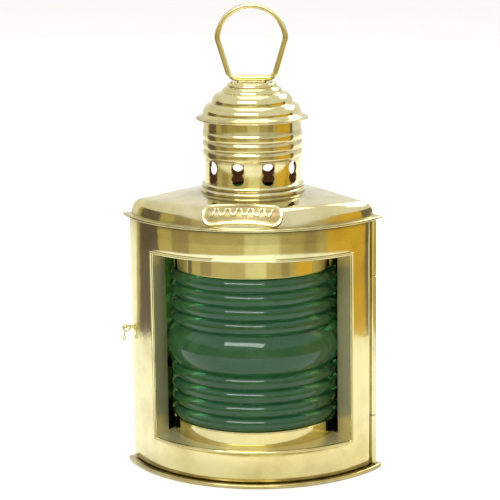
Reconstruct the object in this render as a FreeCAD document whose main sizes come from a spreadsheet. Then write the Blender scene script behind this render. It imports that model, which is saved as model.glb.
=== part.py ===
"""Quarter-round brass navigation light with a hinged lens door, a bail handle and an oil burner.

Frame: millimetres, +Z up, the front of the lamp faces -Y. The origin is on the underside of the
base, on the axis of the chimney and of the lens.
"""
import FreeCAD, Part
import math
import os
import Sketcher
from FreeCAD import Placement, Rotation, Vector

# Every driving size. A third entry names the size or level that the number is added to.
DIMENSIONS = [
    # plan of the case: a round front and two flat sides that meet in a rounded rear corner
    ("front_radius", 86.4),
    ("front_centre_y", 28.8),
    ("side_distance", 48.4),
    # where the round front meets the right side, and its angle from -Y
    ("front_chord", 0.0, "sqrt(2*front_radius^2-(side_distance*sqrt(2)-front_centre_y)^2)"),
    ("corner_x", 0.0, "(side_distance*sqrt(2)-front_centre_y+front_chord)/2"),
    ("corner_y", 0.0, "side_distance*sqrt(2)-corner_x"),
    ("corner_angle", 0.0, "asin(corner_x/front_radius)/1deg"),
    ("rear_round", 19.0),
    ("flange_front", 4.0),
    ("flange_side", 3.0),
    ("sheet_wall", 1.0),
    # base
    ("base_sheet", 1.2),
    ("rim_width", 2.4),
    ("rim_height", 2.6),
    ("brim_rim", 1.8),
    ("rim_round", 0.8),
    ("lip_height", 9.0),
    ("lip_sheet", 0.8),
    # case and roof
    ("case_top", 160.8),
    ("brim_sheet", 1.2),
    ("roof_inset", 1.0),
    ("roof_edge", 10.6, "case_top"),
    ("roof_slope", 7.0),
    ("roof_taper", 14.0),
    ("roof_round", 8.0),
    ("roof_sheet", 0.9),
    ("jamb_angle", -4.9343, "corner_angle"),
    ("door_gap", 0.5),
    # door
    ("door_bottom", 3.4),
    ("door_top", -1.2, "case_top"),
    ("door_left", 0.2657, "corner_angle"),
    ("door_right", -4.5343, "corner_angle"),
    ("window_left", 43.0),
    ("window_right", 47.5),
    ("window_bottom", 23.2),
    ("moulding_width", 2.0),
    ("moulding_proud", 1.5),
    ("moulding_round", 0.6),
    ("reveal_sheet", 0.8),
    ("reveal_half", 78.0),
    # lens
    ("lens_valley", 51.0),
    ("lens_bore", 46.6),
    ("lens_half", 88.0),
    ("lens_bottom", 33.2),
    ("ring_pitch", 8.8),
    ("ring_round", 0.6, "ring_pitch/2"),
    ("belt_height", 26.0),
    ("window_top", 11.8, "lens_bottom+8*ring_pitch+belt_height"),
    ("belt_round", 5.0, "belt_height/2"),
    ("foot_height", 6.0),
    ("foot_step", 0.2),
    ("gallery_gap", 0.3),
    ("gallery_sheet", 0.8),
    ("clip_width", 7.0),
    ("clip_reach", 6.0),
    # door hinge
    ("hinge_x", -1.6123, "corner_x"),
    ("hinge_y", -1.7356, "corner_y"),
    ("barrel_radius", 2.3),
    ("pin_radius", 1.2),
    ("pin_clearance", 0.05),
    ("knuckle_low", 34.6),
    ("knuckle_high", -35.8, "case_top"),
    ("knuckle_gap", 0.4),
    ("leaf_sheet", 0.9),
    ("leaf_width", 12.0),
    ("pin_head", 1.9),
    # latch on the left edge
    ("eye_x", -3.2877, "-corner_x"),
    ("eye_y", -2.2356, "corner_y"),
    ("eye_z", 88.0),
    ("eye_radius", 2.15),
    ("eye_wire", 0.65),
    ("hook_wire", 0.8),
    ("prong_radius", 0.55),
    ("hook_back", 21.0),
    ("hook_off", 2.6),
    ("hook_loop", 2.1),
    ("pivot_radius", 1.0),
    ("curl_drop", 6.9),
    ("curl_radius", 1.15),
    # chimney
    ("drum_radius", 30.6),
    ("drum_sheet", 0.8),
    ("drum_top", 51.0, "roof_edge"),
    ("vent_radius", 4.0),
    ("vent_low", 15.8, "roof_edge"),
    ("vent_pitch", 5.9),
    ("vent_turn", 25.5),
    ("vent_count", 10),
    ("rib_bottom", 10.4, "vent_low"),
    ("rib_pitch", 5.65),
    ("rib_round", 2.575, "rib_pitch/2"),
    ("collar_height", 5.6),
    ("collar_flare", 2.3),
    # cap
    ("cap_sheet", 0.8),
    ("cap_brim", 4.6, "drum_radius"),
    ("cap_brim_z", -0.3, "drum_top"),
    ("cap_tier1", 0.3, "drum_radius"),
    ("cap_tier1_z", 3.1, "cap_brim_z"),
    ("cap_tier2", -5.5, "cap_tier1"),
    ("cap_tier2_z", 6.4, "cap_tier1_z"),
    ("cap_tier3", -6.2, "cap_tier2"),
    ("cap_tier3_z", 6.6, "cap_tier2_z"),
    ("cap_tier4", -3.5, "cap_tier3"),
    ("cap_tier4_z", 3.3, "cap_tier3_z"),
    ("cap_top", -4.1, "cap_tier4"),
    ("cap_top_z", 2.7, "cap_tier4_z"),
    ("cap_round", 6.5),
    ("skirt_depth", 7.0),
    # bail
    ("sleeve_radius", 2.3),
    ("sleeve_length", 18.0),
    ("bail_wire", 1.75),
    ("bail_clearance", 0.08),
    ("bail_straight", 9.6),
    ("bail_bend", 5.6),
    ("bail_splay", 73.0),
    ("bail_side", 20.3),
    ("kink_round", 7.0),
    ("kink_angle", 98.0),
    # mounting brackets on the rear corner
    ("bracket_sheet", 1.4),
    ("bracket_height", 22.0),
    ("bracket_half", 9.0),
    ("bracket_wing", 12.0),
    ("bracket_standoff", 64.4),
    ("bracket_low", 16.0),
    ("bracket_high", -36.8, "case_top"),
    ("screw_radius", 2.6),
    ("rivet_radius", 1.5),
    ("rivet_head", 2.8),
    ("rivet_dome", 1.4),
    # name plate on the front of the roof
    ("plate_half", 24.6),
    ("plate_height", 13.0),
    ("plate_y", 4.6, "front_centre_y-front_radius"),
    ("plate_z", -0.4, "roof_edge"),
    ("plate_tilt", 40.0),
    ("plate_proud", 0.9),
    ("border_proud", 0.7),
    ("border_width", 1.3),
    # lamp inside
    ("font_radius", 33.0),
    ("font_height", 25.0),
    ("font_sheet", 0.9),
    ("font_round", 8.0),
    ("ring_clearance", 0.3),
    ("font_ring_height", 7.0),
    ("burner_radius", 11.0),
    ("burner_collar_height", 6.0),
    ("burner_height", 13.0),
    ("burner_sheet", 0.8),
    ("cone_height", 12.0),
    ("wick_width", 12.0),
    ("wick_thick", 1.6),
    ("wick_top", 61.0),
    ("wick_bottom", 9.0),
    ("tube_gap", 0.35),
    ("tube_sheet", 0.6),
    ("tube_top", 58.0),
    ("shaft_radius", 1.0),
    ("shaft_z", 40.0),
    ("shaft_length", 25.0),
    ("spur_radius", 2.6),
    ("spur_width", 1.2),
    ("spur_teeth", 8),
    ("knob_radius", 6.0),
    ("knob_thick", 3.0),
    ("filler_offset", 22.0),
    ("filler_radius", 5.5),
    ("filler_height", 5.0),
]

doc = FreeCAD.newDocument("navigation_light")
sheet = doc.addObject("Spreadsheet::Sheet", "dims")
for row, (alias, size, *start) in enumerate(DIMENSIONS, start=1):
    sheet.set(f"A{row}", f"={start[0]}+({size})" if start else str(size))
    sheet.setAlias(f"A{row}", alias)
doc.recompute()

pieces = []

# Levels and radii that several pieces share, as expressions of the driving sizes
FLANGE_RADIUS = "(dims.front_radius+dims.flange_front)"
FLANGE_DISTANCE = "(dims.side_distance+dims.flange_side)"
FLANGE_ROUND = "(dims.rear_round+dims.flange_side)"
DOOR_INSIDE = "(dims.front_radius-dims.sheet_wall)"
JAMB_RADIUS = "(dims.front_radius-dims.sheet_wall-dims.door_gap)"
WALL_INSIDE = "(dims.side_distance-dims.sheet_wall)"
LENS_LOW_BELT = "(dims.lens_bottom+4*dims.ring_pitch)"
LENS_HIGH_BELT = "(dims.lens_bottom+4*dims.ring_pitch+dims.belt_height)"
LENS_TOP = "(dims.lens_bottom+8*dims.ring_pitch+dims.belt_height)"
BELT_CREST = "(dims.lens_valley+dims.belt_round-sqrt(dims.belt_round^2-dims.belt_height^2/4))"
GALLERY_INSIDE = "(dims.lens_valley-dims.foot_step+dims.gallery_gap)"
GALLERY_OUTSIDE = "(dims.lens_valley-dims.foot_step+dims.gallery_gap+dims.gallery_sheet)"
BRIM_TOP = "(dims.case_top+dims.brim_sheet)"
ROOF_RADIUS = "(dims.front_radius-dims.roof_inset)"
ROOF_DISTANCE = "(dims.side_distance-dims.roof_inset)"
ROOF_AT_DRUM = "(dims.roof_edge+tan(dims.roof_slope)*(75-dims.drum_radius))"
SLEEVE_AXIS = "(dims.cap_top_z+dims.sleeve_radius-0.1)"
PIVOT_OFF = "((dims.eye_y-dims.eye_x)/sqrt(2)-dims.side_distance+dims.hook_off)"
PIVOT_X = "dims.eye_x-dims.hook_off/sqrt(2)+dims.hook_back/sqrt(2)"
PIVOT_Y = "dims.eye_y+dims.hook_off/sqrt(2)+dims.hook_back/sqrt(2)"
FONT_TOP = "(dims.base_sheet+dims.font_height)"
SHAFT_Y = "(dims.wick_thick/2+dims.spur_radius+0.1)"
COLLAR_TOP = "(dims.base_sheet+dims.font_height+dims.burner_collar_height)"
BURNER_TOP = "(dims.base_sheet+dims.font_height+dims.burner_collar_height+dims.burner_height)"


def number(expression):
    """The present value of an expression of the driving sizes."""
    return float(sheet.evalExpression(expression))


def new_body(name):
    """A body for one piece, labelled with the piece's name."""
    body = doc.addObject("PartDesign::Body", name)
    body.Label = name
    return body


def new_piece(name):
    """A body that is written out as a piece of its own."""
    body = new_body(name)
    pieces.append(body)
    return body


def new_sketch(body, role, level="0"):
    """A sketch on one of the body's own origin planes, raised by level along its normal."""
    sketch = body.newObject("Sketcher::SketchObject", body.Name + "_sketch")
    support = [item for item in body.Origin.OriginFeatures if item.Role == role][0]
    sketch.AttachmentSupport = (support, "")
    sketch.MapMode = "FlatFace"
    sketch.setExpression("AttachmentOffset.Base.z", level)
    return sketch


def bind(sketch, index, expression):
    """Tie one dimension of a sketch to the driving sizes."""
    sketch.setExpression(f"Constraints[{index}]", expression)


def arc_between(start, end, radius):
    """The shorter arc from start to end, its centre on the left for a positive radius."""
    middle = (start + end) * 0.5
    chord = end - start
    half = chord.Length / 2
    left = Vector(-chord.y, chord.x, 0).normalize()
    rise = math.sqrt(max(radius * radius - half * half, 0))
    centre = middle + left * (rise if radius > 0 else -rise)
    first, last = (start, end) if radius > 0 else (end, start)
    angle_first = math.atan2(first.y - centre.y, first.x - centre.x)
    angle_last = math.atan2(last.y - centre.y, last.x - centre.x)
    circle = Part.Circle(centre, Vector(0, 0, 1), abs(radius))
    return Part.ArcOfCircle(circle, angle_first, angle_last)


def draw(sketch, corners, closed=True):
    """Draw a chain of lines and arcs through corners (x, y) or (x, y, radius).

    A radius makes the edge that leaves the corner an arc: positive turns left, negative turns right.
    """
    points = [Vector(number(corner[0]), number(corner[1]), 0) for corner in corners]
    count = len(corners) if closed else len(corners) - 1
    first_edge = sketch.GeometryCount
    starts = []
    ends = []
    for step in range(count):
        start = points[step]
        end = points[(step + 1) % len(points)]
        if len(corners[step]) == 3:
            radius = number(corners[step][2])
            edge = sketch.addGeometry(arc_between(start, end, radius), False)
            size = corners[step][2] if radius > 0 else f"-({corners[step][2]})"
            bind(sketch, sketch.addConstraint(Sketcher.Constraint("Radius", edge, abs(radius))), size)
            starts.append((edge, 1 if radius > 0 else 2))
            ends.append((edge, 2 if radius > 0 else 1))
        else:
            edge = sketch.addGeometry(Part.LineSegment(start, end), False)
            starts.append((edge, 1))
            ends.append((edge, 2))
    for step in range(count if closed else count - 1):
        joint = ends[step] + starts[(step + 1) % count]
        sketch.addConstraint(Sketcher.Constraint("Coincident", *joint))
    places = list(starts)
    if not closed:
        places.append(ends[-1])
    for place, corner, point in zip(places, corners, points):
        for kind, expression, coordinate in (("DistanceX", corner[0], point.x),
                                             ("DistanceY", corner[1], point.y)):
            constraint = Sketcher.Constraint(kind, -1, 1, place[0], place[1], coordinate)
            bind(sketch, sketch.addConstraint(constraint), expression)
    return first_edge


def circle(sketch, x, y, radius):
    """Draw a full circle in a sketch."""
    centre = Vector(number(x), number(y), 0)
    edge = sketch.addGeometry(Part.Circle(centre, Vector(0, 0, 1), number(radius)), False)
    bind(sketch, sketch.addConstraint(Sketcher.Constraint("Radius", edge, number(radius))), radius)
    for kind, expression, coordinate in (("DistanceX", x, centre.x), ("DistanceY", y, centre.y)):
        constraint = Sketcher.Constraint(kind, -1, 1, edge, 3, coordinate)
        bind(sketch, sketch.addConstraint(constraint), expression)


def extrude(kind, body, sketch, length, reverse=False, midplane=False):
    """Pad or pocket a sketch by length along its normal, or against it when reversed."""
    feature = body.newObject("PartDesign::" + kind, body.Name + "_" + kind.lower())
    feature.Profile = sketch
    feature.setExpression("Length", length)
    feature.Midplane = midplane
    feature.Reversed = reverse
    return feature


def pad(body, sketch, length, **options):
    """Add material along the sketch's normal."""
    return extrude("Pad", body, sketch, length, **options)


def cut_up(body, sketch, length):
    """Remove material from the sketch upwards along its normal."""
    return extrude("Pocket", body, sketch, length, reverse=True)


def spin(body, sketch, kind="Revolution", angle="360", midplane=False):
    """Turn a sketch about its own vertical axis, to add or (Groove) remove material."""
    feature = body.newObject("PartDesign::" + kind, body.Name + "_" + kind.lower())
    feature.Profile = sketch
    feature.ReferenceAxis = (sketch, ["V_Axis"])
    feature.setExpression("Angle", angle)
    feature.Midplane = midplane
    return feature


def fillet(body, feature, test, radius):
    """Round the edges of a feature whose centre and box pass the test."""
    doc.recompute()
    names = []
    for index, edge in enumerate(feature.Shape.Edges, start=1):
        if test(edge.BoundBox):
            names.append(f"Edge{index}")
    rounding = body.newObject("PartDesign::Fillet", body.Name + "_fillet")
    rounding.Base = (feature, names)
    rounding.setExpression("Radius", radius)
    return rounding


def level_edges(*levels):
    """A test for edges that lie flat at one of the given heights."""
    heights = [number(level) for level in levels]

    def test(box):
        return box.ZLength < 0.01 and any(abs(box.ZMin - height) < 0.01 for height in heights)

    return test


def on_front(radius, angle):
    """A point on a circle about the centre of the round front, the angle counted from -Y."""
    return f"{radius}*sin({angle})", f"dims.front_centre_y-{radius}*cos({angle})"


def on_lens(radius, angle):
    """A point on a circle about the lens axis, the angle counted from -Y."""
    return f"{radius}*sin({angle})", f"-{radius}*cos({angle})"


def side_end(radius, distance):
    """Where a flat side at a distance from the axis meets the round front of a radius."""
    reach = f"({distance}*sqrt(2))"
    root = f"sqrt(2*{radius}^2-({reach}-dims.front_centre_y)^2)"
    return f"({reach}-dims.front_centre_y+{root})/2", f"({reach}+dims.front_centre_y-{root})/2"


def outline(radius, distance, rounding):
    """The plan outline: round front, two sides square to each other, rounded rear corner."""
    end_x, end_y = side_end(radius, distance)
    tangent_x = f"{rounding}/sqrt(2)"
    tangent_y = f"{distance}*sqrt(2)-{rounding}/sqrt(2)"
    return [
        (f"-({end_x})", end_y, radius),
        (end_x, end_y),
        (tangent_x, tangent_y, rounding),
        (f"-({tangent_x})", tangent_y),
    ]


def rectangle(left, bottom, right, top):
    """The corners of an upright rectangle."""
    return [(left, bottom), (right, bottom), (right, top), (left, top)]


def front_sector(inner, outer, left, right):
    """A curved strip of the round front between two angles."""
    return [
        on_front(outer, left) + (outer,),
        on_front(outer, right),
        on_front(inner, right) + (f"-{inner}",),
        on_front(inner, left),
    ]


def place(body, x="0", y="0", z="0", turn=0.0):
    """Put a piece at a point of the frame, turned about +Z by an angle in degrees."""
    body.Placement = Placement(Vector(0, 0, 0), Rotation(Vector(0, 0, 1), turn))
    for axis, expression in (("x", x), ("y", y), ("z", z)):
        body.setExpression("Placement.Base." + axis, expression)


def make_flange(name, bottom, rim_height, opening):
    """A flat flange with a rolled rim, and an opening in the middle if one is given."""
    body = new_piece(name)
    sketch = new_sketch(body, "XY_Plane", bottom)
    draw(sketch, outline(FLANGE_RADIUS, FLANGE_DISTANCE, FLANGE_ROUND))
    if opening:
        draw(sketch, opening)
    pad(body, sketch, "dims.base_sheet")
    rim = new_sketch(body, "XY_Plane", bottom)
    draw(rim, outline(FLANGE_RADIUS, FLANGE_DISTANCE, FLANGE_ROUND))
    draw(rim, outline(f"({FLANGE_RADIUS}-dims.rim_width)", f"({FLANGE_DISTANCE}-dims.rim_width)",
                      f"({FLANGE_ROUND}-dims.rim_width)"))
    feature = pad(body, rim, rim_height)
    doc.recompute()
    height = number(bottom)
    reach = number(FLANGE_RADIUS) - 0.01
    centre_y = number("dims.front_centre_y")
    top = height + number(rim_height)

    def outer_edge(box):
        flat = box.ZLength < 0.01 and min(abs(box.ZMin - height), abs(box.ZMin - top)) < 0.01
        on_round = box.YMin < centre_y - reach + 0.02
        return flat and on_round

    fillet(body, feature, outer_edge, "dims.rim_round")
    return body


def make_lip(name, bottom, height):
    """A thin upright strip all round, just inside the case walls and the door."""
    body = new_piece(name)
    sketch = new_sketch(body, "XY_Plane", bottom)
    outer = f"({JAMB_RADIUS}-dims.sheet_wall)"
    draw(sketch, outline(outer, WALL_INSIDE, "(dims.rear_round-dims.sheet_wall)"))
    draw(sketch, outline(f"({outer}-dims.lip_sheet)", f"({WALL_INSIDE}-dims.lip_sheet)",
                         "(dims.rear_round-dims.sheet_wall-dims.lip_sheet)"))
    pad(body, sketch, height)
    notch = new_sketch(body, "XY_Plane", bottom)
    circle(notch, "dims.hinge_x", "dims.hinge_y", "dims.barrel_radius+0.7")
    cut_up(body, notch, height)


def make_rear_casing():
    """One bent sheet: both flat sides, the rounded rear corner and a stop for the door."""
    body = new_piece("rear_casing")
    sketch = new_sketch(body, "XY_Plane", "dims.base_sheet")
    outer_x, outer_y = side_end(JAMB_RADIUS, "dims.side_distance")
    inner_x, inner_y = side_end(JAMB_RADIUS, WALL_INSIDE)
    rounding = "(dims.rear_round-dims.sheet_wall)"
    draw(sketch, [
        (outer_x, outer_y),
        ("dims.rear_round/sqrt(2)", "dims.side_distance*sqrt(2)-dims.rear_round/sqrt(2)", "dims.rear_round"),
        ("-dims.rear_round/sqrt(2)", "dims.side_distance*sqrt(2)-dims.rear_round/sqrt(2)"),
        (f"-({outer_x})", outer_y),
        (f"-({inner_x})", inner_y),
        (f"-{rounding}/sqrt(2)", f"{WALL_INSIDE}*sqrt(2)-{rounding}/sqrt(2)", f"-{rounding}"),
        (f"{rounding}/sqrt(2)", f"{WALL_INSIDE}*sqrt(2)-{rounding}/sqrt(2)"),
        (inner_x, inner_y),
    ])
    height = "dims.case_top-dims.base_sheet"
    pad(body, sketch, height)
    stop = new_sketch(body, "XY_Plane", "dims.base_sheet")
    stop_inside = f"({JAMB_RADIUS}-dims.sheet_wall)"
    start_x, start_y = side_end(JAMB_RADIUS, f"({WALL_INSIDE}+0.2)")
    back_x, back_y = side_end(stop_inside, f"({WALL_INSIDE}+0.2)")
    draw(stop, [
        (f"-({start_x})", start_y, JAMB_RADIUS),
        on_front(JAMB_RADIUS, "-dims.jamb_angle"),
        on_front(stop_inside, "-dims.jamb_angle") + (f"-{stop_inside}",),
        (f"-({back_x})", back_y),
    ])
    pad(body, stop, height)
    notch = new_sketch(body, "XY_Plane")
    circle(notch, "dims.hinge_x", "dims.hinge_y", "dims.barrel_radius+0.5")
    cut_up(body, notch, "dims.case_top+1")


def make_door_panel():
    """The curved door sheet with its window."""
    body = new_piece("door_panel")
    sketch = new_sketch(body, "XY_Plane", "dims.door_bottom")
    draw(sketch, front_sector(DOOR_INSIDE, "dims.front_radius", "-dims.door_left", "dims.door_right"))
    pad(body, sketch, "dims.door_top-dims.door_bottom")
    window = new_sketch(body, "XY_Plane", "dims.window_bottom")
    draw(window, front_sector("(dims.front_radius-6)", "(dims.front_radius+6)",
                              "-dims.window_left", "dims.window_right"))
    cut_up(body, window, "dims.window_top-dims.window_bottom")


def make_window_moulding():
    """A raised bead round the window, on the face of the door."""
    body = new_piece("window_moulding")
    margin = "(dims.moulding_width/dims.front_radius*57.3)"
    sketch = new_sketch(body, "XY_Plane", "dims.window_bottom-dims.moulding_width")
    draw(sketch, front_sector("dims.front_radius", "(dims.front_radius+dims.moulding_proud)",
                              f"-(dims.window_left+{margin})", f"(dims.window_right+{margin})"))
    pad(body, sketch, "dims.window_top-dims.window_bottom+2*dims.moulding_width")
    window = new_sketch(body, "XY_Plane", "dims.window_bottom")
    draw(window, front_sector("(dims.front_radius-6)", "(dims.front_radius+6)",
                              "-dims.window_left", "dims.window_right"))
    feature = cut_up(body, window, "dims.window_top-dims.window_bottom")
    doc.recompute()
    outside = number("dims.front_radius+dims.moulding_proud")
    centre_y = number("dims.front_centre_y")
    names = []
    for index, edge in enumerate(feature.Shape.Edges, start=1):
        ends = [vertex.Point for vertex in edge.Vertexes]
        if all(abs(math.hypot(point.x, point.y - centre_y) - outside) < 0.01 for point in ends):
            names.append(f"Edge{index}")
    rounding = body.newObject("PartDesign::Fillet", "window_moulding_fillet")
    rounding.Base = (feature, names)
    rounding.setExpression("Radius", "dims.moulding_round")


def make_window_reveal():
    """The four-sided sheet tunnel from the window back to the lens galleries."""
    body = new_piece("window_reveal")
    sketch = new_sketch(body, "XY_Plane", "dims.window_bottom-dims.reveal_sheet")
    margin = "(dims.reveal_sheet/dims.front_radius*57.3)"
    draw(sketch, [
        on_front(DOOR_INSIDE, f"-(dims.window_left+{margin})") + (DOOR_INSIDE,),
        on_front(DOOR_INSIDE, f"(dims.window_right+{margin})"),
        on_lens(GALLERY_OUTSIDE, "dims.reveal_half") + (f"-{GALLERY_OUTSIDE}",),
        on_lens(GALLERY_OUTSIDE, "-dims.reveal_half"),
    ])
    pad(body, sketch, "dims.window_top-dims.window_bottom+2*dims.reveal_sheet")
    hollow = new_sketch(body, "XY_Plane", "dims.window_bottom")
    inner_half = "(dims.reveal_half-dims.reveal_sheet/dims.lens_valley*57.3)"
    draw(hollow, [
        on_front("(dims.front_radius+6)", "-(dims.window_left-1)") + ("(dims.front_radius+6)",),
        on_front("(dims.front_radius+6)", "(dims.window_right-1)"),
        on_front(DOOR_INSIDE, "dims.window_right"),
        on_lens(GALLERY_OUTSIDE, inner_half),
        on_lens("(dims.lens_valley-9)", inner_half),
        on_lens("(dims.lens_valley-9)", f"-{inner_half}"),
        on_lens(GALLERY_OUTSIDE, f"-{inner_half}"),
        on_front(DOOR_INSIDE, "-dims.window_left"),
    ])
    cut_up(body, hollow, "dims.window_top-dims.window_bottom")
    lens_room = new_sketch(body, "XY_Plane", "dims.window_bottom")
    circle(lens_room, "0", "0", f"{BELT_CREST}+dims.gallery_gap")
    cut_up(body, lens_room, "dims.window_top-dims.window_bottom")


def make_gallery(name, lowest, highest, ledge):
    """A curved band in front of the foot of the lens, with a ledge that the lens stands against."""
    body = new_piece(name)
    sketch = new_sketch(body, "YZ_Plane")
    draw(sketch, rectangle(f"-{GALLERY_OUTSIDE}", lowest, f"-{GALLERY_INSIDE}", highest))
    spin(body, sketch, angle="2*dims.lens_half", midplane=True)
    shelf = new_sketch(body, "YZ_Plane")
    draw(shelf, rectangle(f"-({GALLERY_INSIDE}+0.1)", ledge, "-dims.lens_bore",
                          f"{ledge}+dims.gallery_sheet"))
    spin(body, shelf, angle="2*dims.lens_half", midplane=True)


def make_lens():
    """The moulded dioptric lens: four rings, a broad centre belt and four more rings."""
    body = new_piece("fresnel_lens")
    sketch = new_sketch(body, "YZ_Plane")
    foot = "-(dims.lens_valley-dims.foot_step)"
    valley = "-dims.lens_valley"
    corners = [
        ("-dims.lens_bore", f"{LENS_TOP}+dims.foot_height"),
        (foot, f"{LENS_TOP}+dims.foot_height"),
        (foot, LENS_TOP),
    ]
    for ring in range(4):
        corners.append((valley, f"{LENS_TOP}-{ring}*dims.ring_pitch", "dims.ring_round"))
    corners.append((valley, LENS_HIGH_BELT, "dims.belt_round"))
    for ring in range(4):
        corners.append((valley, f"{LENS_LOW_BELT}-{ring}*dims.ring_pitch", "dims.ring_round"))
    corners += [
        (valley, "dims.lens_bottom"),
        (foot, "dims.lens_bottom"),
        (foot, "dims.lens_bottom-dims.foot_height"),
        ("-dims.lens_bore", "dims.lens_bottom-dims.foot_height"),
    ]
    draw(sketch, corners)
    spin(body, sketch, angle="2*dims.lens_half", midplane=True)


def make_lens_clips():
    """Four bent tabs inside the galleries that keep the lens from falling inwards."""
    tabs = []
    for index, (angle, low) in enumerate([(-45, True), (45, True), (-45, False), (45, False)]):
        body = new_body(f"lens_clip_{index + 1}")
        face = "dims.lens_bottom-dims.foot_height-dims.gallery_sheet"
        away = "-"
        towards = "+"
        if not low:
            face = f"{LENS_TOP}+dims.foot_height+dims.gallery_sheet"
            away, towards = towards, away
        outer = "-(dims.lens_bore+2.4)"
        leg = "-(dims.lens_bore-0.2)"
        inner = "-(dims.lens_bore-0.2-dims.gallery_sheet)"
        sketch = new_sketch(body, "YZ_Plane")
        draw(sketch, [
            (outer, f"{face}{away}dims.gallery_sheet"),
            (inner, f"{face}{away}dims.gallery_sheet"),
            (inner, f"{face}{towards}dims.clip_reach"),
            (leg, f"{face}{towards}dims.clip_reach"),
            (leg, face),
            (outer, face),
        ])
        pad(body, sketch, "dims.clip_width", midplane=True)
        body.Placement = Placement(Vector(0, 0, 0), Rotation(Vector(0, 0, 1), angle))
        tabs.append(body)
    group = doc.addObject("Part::Compound", "lens_clips")
    group.Links = tabs
    group.Label = "lens_clips"
    pieces.append(group)


def make_hinge(name, knuckles, turn, offset, leaf_bottom, leaf_top):
    """Half of the door hinge: knuckles on the hinge axis and a leaf that runs off along local +X."""
    body = new_piece(name)
    leaf = new_sketch(body, "XY_Plane", leaf_bottom)
    draw(leaf, rectangle("dims.barrel_radius+0.5", offset, "dims.leaf_width", f"{offset}+dims.leaf_sheet"))
    pad(body, leaf, f"{leaf_top}-({leaf_bottom})")
    for bottom, top in knuckles:
        arm = new_sketch(body, "XY_Plane", bottom)
        draw(arm, rectangle("dims.pin_radius+0.4", offset, "dims.barrel_radius+0.6",
                            f"{offset}+dims.leaf_sheet"))
        pad(body, arm, f"{top}-({bottom})")
        barrel = new_sketch(body, "XY_Plane", bottom)
        circle(barrel, "0", "0", "dims.barrel_radius")
        circle(barrel, "0", "0", "dims.pin_radius+dims.pin_clearance")
        pad(body, barrel, f"{top}-({bottom})")
    place(body, "dims.hinge_x", "dims.hinge_y", "0", turn)


def make_hinge_pin():
    """The hinge pin with a small round head at each end."""
    body = new_piece("hinge_pin")
    sketch = new_sketch(body, "XZ_Plane")
    top = "dims.door_top+0.1"
    draw(sketch, [
        ("0", "dims.door_bottom-0.6"),
        ("dims.pin_head", "dims.door_bottom-0.6"),
        ("dims.pin_head", "dims.door_bottom-0.1"),
        ("dims.pin_radius", "dims.door_bottom-0.1"),
        ("dims.pin_radius", top),
        ("dims.pin_head", top),
        ("dims.pin_head", f"{top}+0.4"),
        ("dims.pin_radius*0.6", f"{top}+0.8"),
        ("0", f"{top}+0.8"),
    ])
    spin(body, sketch)
    place(body, "dims.hinge_x", "dims.hinge_y")


def tube(body, role, level, x, y, radius, length, reverse=False):
    """A round bar that starts at a level of an origin plane and runs along its normal."""
    sketch = new_sketch(body, role, level)
    circle(sketch, x, y, radius)
    return pad(body, sketch, length, reverse=reverse)


def make_ring(body, radius, wire, x, height):
    """A closed wire ring in the body's own XZ plane, about the local Y axis through (x, height)."""
    sketch = new_sketch(body, "XZ_Plane", "0")
    circle(sketch, x, height, f"{radius}+{wire}")
    circle(sketch, x, height, f"{radius}-{wire}")
    feature = pad(body, sketch, f"2*{wire}", midplane=True)
    doc.recompute()
    return feature


def make_latch():
    """The eye on the door, the wire hook on the case and the bracket that the hook swings on."""
    eye = new_piece("latch_eye")
    make_ring(eye, "dims.eye_radius", "dims.eye_wire", "0", "dims.eye_z")
    tube(eye, "YZ_Plane", "dims.eye_radius", "0", "dims.eye_z", "dims.eye_wire*0.85", "2.4")
    place(eye, "dims.eye_x", "dims.eye_y", "0", 22.5)

    hook = new_piece("latch_hook")
    loop = new_sketch(hook, "XY_Plane", "dims.eye_z-1.2")
    circle(loop, "0", "0", "dims.hook_loop")
    circle(loop, "0", "0", "dims.pivot_radius+dims.pin_clearance")
    pad(hook, loop, "2.4")
    tube(hook, "YZ_Plane", "dims.pivot_radius+0.5", "0", "dims.eye_z", "dims.hook_wire",
         "dims.hook_back-dims.pivot_radius")
    tube(hook, "XZ_Plane", "0", "dims.hook_back", "dims.eye_z", "dims.prong_radius",
         "dims.hook_off+0.3", reverse=True)
    tube(hook, "XY_Plane", "dims.eye_z-dims.curl_drop+dims.curl_radius", "dims.hook_back", "0",
         "dims.hook_wire*0.8", "dims.curl_drop-dims.curl_radius")
    curl = new_sketch(hook, "XZ_Plane")
    circle(curl, "dims.hook_back", "dims.eye_z-dims.curl_drop", "dims.curl_radius+dims.hook_wire*0.6")
    circle(curl, "dims.hook_back", "dims.eye_z-dims.curl_drop", "dims.curl_radius-dims.hook_wire*0.6")
    pad(hook, curl, "1.2", midplane=True)
    place(hook, PIVOT_X, PIVOT_Y, "0", 225)


def make_latch_bracket():
    """A small plate on the case wall with an upright pin for the hook's loop."""
    body = new_piece("latch_bracket")
    plate = new_sketch(body, "XY_Plane", "dims.eye_z-6")
    draw(plate, rectangle("-4", f"{PIVOT_OFF}-dims.leaf_sheet", "4", PIVOT_OFF))
    pad(body, plate, "12")
    for level in ("dims.eye_z-3.4", "dims.eye_z+1.8"):
        ear = new_sketch(body, "XY_Plane", level)
        draw(ear, rectangle("-dims.hook_loop", "-dims.hook_loop", "dims.hook_loop", f"{PIVOT_OFF}-0.5"))
        pad(body, ear, "1.6")
    tube(body, "XY_Plane", "dims.eye_z-3", "0", "0", "dims.pivot_radius", "6")
    place(body, PIVOT_X, PIVOT_Y, "0", 225)


def boolean(kind, name, base, tool):
    """A boolean of two objects, labelled with its name."""
    result = doc.addObject("Part::" + kind, name)
    result.Base = base
    result.Tool = tool
    result.Label = name
    return result


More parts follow.
